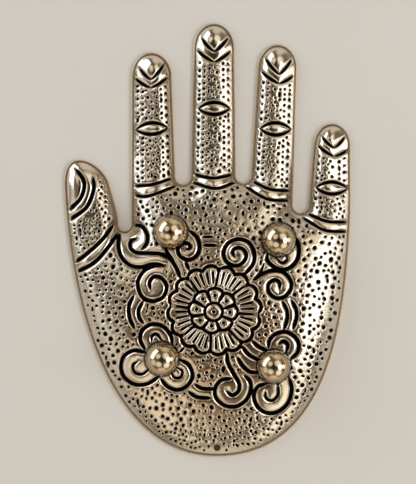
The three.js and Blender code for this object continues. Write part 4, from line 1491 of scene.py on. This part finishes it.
# %% Node graphs and finishes
class Graph:
    """A node tree in the making."""

    def __init__(self, tree):
        self.tree = tree
        self.tree.nodes.clear()

    def node(self, kind, settings=None, sockets=None, output=0):
        made = self.tree.nodes.new(kind)
        for name, value in (settings or {}).items():
            setattr(made, name, value)
        for name, value in (sockets or {}).items():
            if isinstance(value, Value):
                self.tree.links.new(value.socket, made.inputs[name])
            else:
                made.inputs[name].default_value = value
        return Value(self, made.outputs[output]) if made.outputs else None

    def attribute(self, name):
        return self.node("ShaderNodeAttribute", {"attribute_name": name}, output=2)

    def noise(self, scale, detail=3.0):
        place = self.node("ShaderNodeTexCoord", output=3)
        return self.node("ShaderNodeTexNoise", None, {"Vector": place, "Scale": scale, "Detail": detail})

    def mix(self, share, first, second):
        """Blends two colours."""
        return self.node(
            "ShaderNodeMix", {"data_type": "RGBA"}, {0: share, 6: first, 7: second}, output=2
        )

    def bump(self, height, distance):
        return self.node("ShaderNodeBump", None, {"Height": height, "Distance": distance, "Strength": 1.0})


class Finish(Graph):
    """A material in the making."""

    def __init__(self, name):
        self.material = bpy.data.materials.new(name)
        self.material.use_nodes = True
        super().__init__(self.material.node_tree)

    def metal(self, **sockets):
        shader = self.node("ShaderNodeBsdfPrincipled", None, sockets)
        self.node("ShaderNodeOutputMaterial", None, {"Surface": shader})
        return self.material


def colour(red, green, blue):
    return (red, green, blue, 1.0)


print("a colour has", len(colour(0, 0, 0)), "numbers, the last one for opacity")

# %% [markdown]
# ## The plated finish
# The metal is pale, between silver and gold, and polished by hand, so it has a soft gloss with a trace of
# wear. The cut lines were blackened and the face wiped clean. So one attribute turns the metal into dull
# black in the lines and dots, and the same attribute paints shade black in the crease at the border, round
# each ball and at the stick hole. Near the lines the metal is painted browner and darker, as shade mixed
# with tarnish, and the lips of the lines are rubbed bright, with a painted highlight along them. Round the
# rosette the metal is coppery, the scrolls are silvery, the border is golden, and the punched ground has
# dark specks.

# %% Plate material
PALE_PLATE = colour(0.75, 0.69, 0.59)
TARNISH_AND_SHADE = colour(0.50, 0.40, 0.285)
COPPERY = colour(0.76, 0.56, 0.385)
SILVERY = colour(0.84, 0.78, 0.68)
GOLDEN_BORDER = colour(0.82, 0.63, 0.42)
RUBBED_LIP_AND_HIGHLIGHT = colour(0.90, 0.85, 0.76)
BLACKENED_AND_SHADE = colour(0.004, 0.004, 0.004)
SPECK_LEVEL, SPECK_CONTRAST, SPECK_SHARE = 0.66, 9.0, 0.6
SILVER_SHARE = 0.5
RUBBED_AND_HIGHLIT_SHARE = 0.75
GRAIN_HEIGHT = 0.00007


def plate_finish():
    finish = Finish("chased_plate")
    black_and_painted_shade = finish.attribute("black_and_painted_shade").clamped()
    shade_near_lines = finish.attribute("shade_near_lines").clamped()
    cloud = finish.noise(60.0)
    fine = finish.noise(900.0, 2.0)
    # painted shade near the lines, mixed with a tarnish that varies at random
    tarnish_and_shade = (shade_near_lines * 0.35 + cloud * 0.35 - 0.08).clamped()
    bright = finish.mix(tarnish_and_shade, PALE_PLATE, TARNISH_AND_SHADE)
    warm = finish.attribute("warm").clamped()
    coppery = finish.mix((warm * (0.5 + cloud * 0.6)).clamped(), bright, COPPERY)
    border = finish.attribute("border").clamped()
    polish = finish.attribute("polish").clamped()
    silvery = finish.mix(polish * SILVER_SHARE, coppery, SILVERY)
    edged = finish.mix(border, silvery, GOLDEN_BORDER)
    # rubbed lips, with a painted highlight along the lines
    rubbed_and_highlit = finish.mix(finish.attribute("lip_wear_and_highlight").clamped() * RUBBED_AND_HIGHLIT_SHARE, edged, RUBBED_LIP_AND_HIGHLIGHT)
    worn = 1.0 - polish
    specks = ((finish.noise(1100.0, 1.0) - SPECK_LEVEL) * SPECK_CONTRAST).clamped() * worn
    # black in the lines and dots, and painted shade in the crease, round the balls and at the stick hole
    tint = finish.mix((black_and_painted_shade + specks * SPECK_SHARE).clamped(), rubbed_and_highlit, BLACKENED_AND_SHADE)
    rough = 0.08 + worn * 0.06 + cloud * 0.06 + fine * 0.05 + border * 0.15 + black_and_painted_shade * 0.4
    grain = finish.noise(420.0, 3.0) * 0.4 + finish.noise(1300.0, 2.0) * (0.1 + worn * 0.6)
    surface = finish.bump(grain, GRAIN_HEIGHT)
    return finish.metal(**{"Base Color": tint, "Roughness": rough, "Metallic": 1.0, "Normal": surface})


plate.data.materials.append(plate_finish())
print("plate finish:", len(plate.data.materials[0].node_tree.nodes), "nodes")

# %% [markdown]
# ## Ball and fixing finishes
# The balls are mirror polished, so their roughness is low and only faint smears show. Lower down they
# are painted amber and then brown: a painted amber reflection of the plate, then a painted dark reflection
# and shadow near their seat. The screws and washers are plain turned brass: yellower and duller, with a
# faint mottle.

# %% Ball and fixing materials
BALL_BRIGHT, BALL_SMEARED = colour(0.74, 0.64, 0.49), colour(0.63, 0.53, 0.38)
# painted reflection: amber lower on each ball, then a painted dark reflection and shadow at its seat
BALL_AMBER_REFLECTION, BALL_DARK_REFLECTION = colour(0.72, 0.46, 0.20), colour(0.42, 0.35, 0.26)
AMBER_LEVEL, AMBER_CONTRAST = 0.76, 8.0
BROWN_LEVEL, BROWN_CONTRAST = 0.70, 6.0
BRASS_LIGHT, BRASS_DARK = colour(0.70, 0.55, 0.26), colour(0.52, 0.38, 0.17)


def ball_finish():
    finish = Finish("polished_ball")
    smear = finish.noise(260.0)
    level = finish.attribute("level")
    bright = finish.mix((smear * 1.6 - 0.5).clamped(), BALL_BRIGHT, BALL_SMEARED)
    # painted amber reflection, then painted dark reflection and shadow, by height on the ball
    amber_reflection = finish.mix(((AMBER_LEVEL - level) * AMBER_CONTRAST).clamped(), bright, BALL_AMBER_REFLECTION)
    tint = finish.mix(((BROWN_LEVEL - level) * BROWN_CONTRAST).clamped(), amber_reflection, BALL_DARK_REFLECTION)
    return finish.metal(**{"Base Color": tint, "Roughness": 0.05 + smear * 0.04, "Metallic": 1.0})


def fixing_finish():
    finish = Finish("turned_brass")
    cloud = finish.noise(300.0)
    tint = finish.mix(cloud, BRASS_LIGHT, BRASS_DARK)
    return finish.metal(**{"Base Color": tint, "Roughness": 0.28 + cloud * 0.2, "Metallic": 1.0})


ball_metal = ball_finish()
fixing_metal = fixing_finish()
for pieces, metal in ((balls, ball_metal), (washers, fixing_metal), (screws, fixing_metal)):
    for piece in pieces:
        piece.data.materials.clear()
        piece.data.materials.append(metal)
print("finished", len(balls) + len(washers) + len(screws), "small pieces")

# %% [markdown]
# ## Floor, light and camera
# Polished metal shows the room, so the lights are where the balls in the photograph show them: a big cool
# panel low at the upper left, and a bright one on the right with a dimmer one below it. Between them are
# soft warm glows, which are written into the room's own shader, over dim brown walls and a ceiling that
# is darkest straight above. The camera looks straight down, as in the photograph.

# %% Floor
FLOOR_HALF = 6.0
FLOOR_PALE, FLOOR_PALER = colour(0.84, 0.85, 0.86), colour(0.88, 0.89, 0.90)


def floor_finish():
    finish = Finish("pale_floor")
    cloud = finish.noise(3.0)
    tint = finish.mix(cloud, FLOOR_PALE, FLOOR_PALER)
    surface = {"Base Color": tint, "Roughness": 0.8, "Metallic": 0.0}
    top = finish.node("ShaderNodeBsdfPrincipled", None, surface)
    clear = finish.node("ShaderNodeBsdfTransparent")
    below = finish.node("ShaderNodeNewGeometry", output="Backfacing")
    both = finish.node("ShaderNodeMixShader", None, {0: below, 1: top, 2: clear})
    finish.node("ShaderNodeOutputMaterial", None, {"Surface": both})
    return finish.material


bpy.ops.mesh.primitive_plane_add(size=2 * FLOOR_HALF, location=(0, 0, 0))
floor = bpy.context.active_object
floor.name = "floor"
floor.data.materials.append(floor_finish())
print("floor", floor.dimensions[:])

# %% Room
ROOM_SHADES = (
    (0.0, colour(0.34, 0.29, 0.21)),
    (0.38, colour(0.16, 0.12, 0.08)),
    (0.85, colour(0.16, 0.12, 0.08)),
    (0.98, colour(0.035, 0.025, 0.016)),
)
GLOW_CORE = 0.15
# each glow: angle round the hand, angle from straight above and reach in degrees, then its colour
GLOWS = {
    "upper_right": (38, 38, 30, (1.12, 0.98, 0.79)),
    "upper_left": (141, 33, 22, (0.95, 0.86, 0.70)),
    "left_low": (202, 66, 25, (0.8, 0.76, 0.67)),
    "lower_left": (-121, 43, 25, (1.05, 0.93, 0.73)),
    "lower_right": (-50, 57, 26, (1.35, 1.23, 1.0)),
    "upper_low": (72, 80, 32, (0.70, 0.62, 0.50)),
    "heel_low": (-90, 82, 28, (0.80, 0.70, 0.55)),
}


def towards(azimuth, tilt):
    """The direction at an angle round the hand and an angle from straight above, both in degrees."""
    turn, lean = math.radians(azimuth), math.radians(tilt)
    return Vector((math.cos(turn) * math.sin(lean), math.sin(turn) * math.sin(lean), math.cos(lean)))


world = bpy.data.worlds.new("studio_room")
bpy.context.scene.world = world
world.use_nodes = True
room = Graph(world.node_tree)
direction = room.node("ShaderNodeTexCoord")
height = room.node("ShaderNodeSeparateXYZ", None, {0: direction}, output=2)
shades = room.node("ShaderNodeValToRGB", None, {0: height})
ramp = shades.socket.node.color_ramp
ramp.elements.remove(ramp.elements[1])
for level, tint in ROOM_SHADES:
    stop = ramp.elements.new(level) if level > 0 else ramp.elements[0]
    stop.color = tint
for azimuth, tilt, reach, tint in GLOWS.values():
    aim = towards(azimuth, tilt)
    nearness = room.node(
        "ShaderNodeVectorMath", {"operation": "DOT_PRODUCT"}, {0: direction, 1: aim}, output=1
    )
    share = room.node(
        "ShaderNodeMapRange", {"interpolation_type": "SMOOTHSTEP"},
        {0: nearness, 1: math.cos(math.radians(reach)), 2: math.cos(math.radians(GLOW_CORE * reach))},
    )
    shades = room.mix(share, shades, colour(*tint))
backdrop = room.node("ShaderNodeBackground", None, {"Color": shades, "Strength": 1.0})
room.node("ShaderNodeOutputWorld", None, {"Surface": backdrop})
print("room with", len(GLOWS), "soft glows")

# %% Soft panels
PANEL_DISTANCE = 1.2
DAYLIGHT = (0.94, 1.0, 1.10)
PALE = (1.0, 0.99, 0.96)


def panel(name, azimuth, tilt, width, height, brightness, tint, shape="ELLIPSE"):
    """A soft light panel that faces the hand: direction round it, tilt from straight above, in degrees."""
    area = width * height * (math.pi / 4 if shape == "ELLIPSE" else 1.0)
    away = towards(azimuth, tilt)
    light = bpy.data.lights.new(name, "AREA")
    light.shape = shape
    light.size = width
    light.size_y = height
    light.energy = brightness * math.pi * area
    light.color = tint
    lamp = bpy.data.objects.new(name, light)
    lamp.location = away * PANEL_DISTANCE
    lamp.rotation_euler = away.to_track_quat("Z", "Y").to_euler()
    lamp.visible_camera = False
    bpy.context.collection.objects.link(lamp)


panel("left_panel", 148, 70, width=1.35, height=0.68, brightness=1.75, tint=DAYLIGHT, shape="RECTANGLE")
panel("right_panel", -7, 46, width=0.78, height=0.62, brightness=2.8, tint=PALE)
panel("right_low_panel", -2, 72, width=0.5, height=0.64, brightness=1.2, tint=PALE)

# %% Camera
PHOTO_HEIGHT = 169.4
PHOTO_MIDDLE = (0.175, -0.7)
CAMERA_DISTANCE = 2.0
SENSOR_WIDTH = 36.0
FARTHEST = 20.0
camera = bpy.data.objects.new("camera", bpy.data.cameras.new("camera"))
camera.data.sensor_width = SENSOR_WIDTH
camera.data.lens = SENSOR_WIDTH * CAMERA_DISTANCE / (PHOTO_HEIGHT * MM)
camera.data.clip_end = FARTHEST
camera.location = (PHOTO_MIDDLE[0] * MM, PHOTO_MIDDLE[1] * MM, CAMERA_DISTANCE)
bpy.context.collection.objects.link(camera)
bpy.context.scene.camera = camera
print("camera lens", round(camera.data.lens, 1), "mm")

# %% [markdown]
# ## Size
# The dressed hand has to stay as big as the CAD hand.
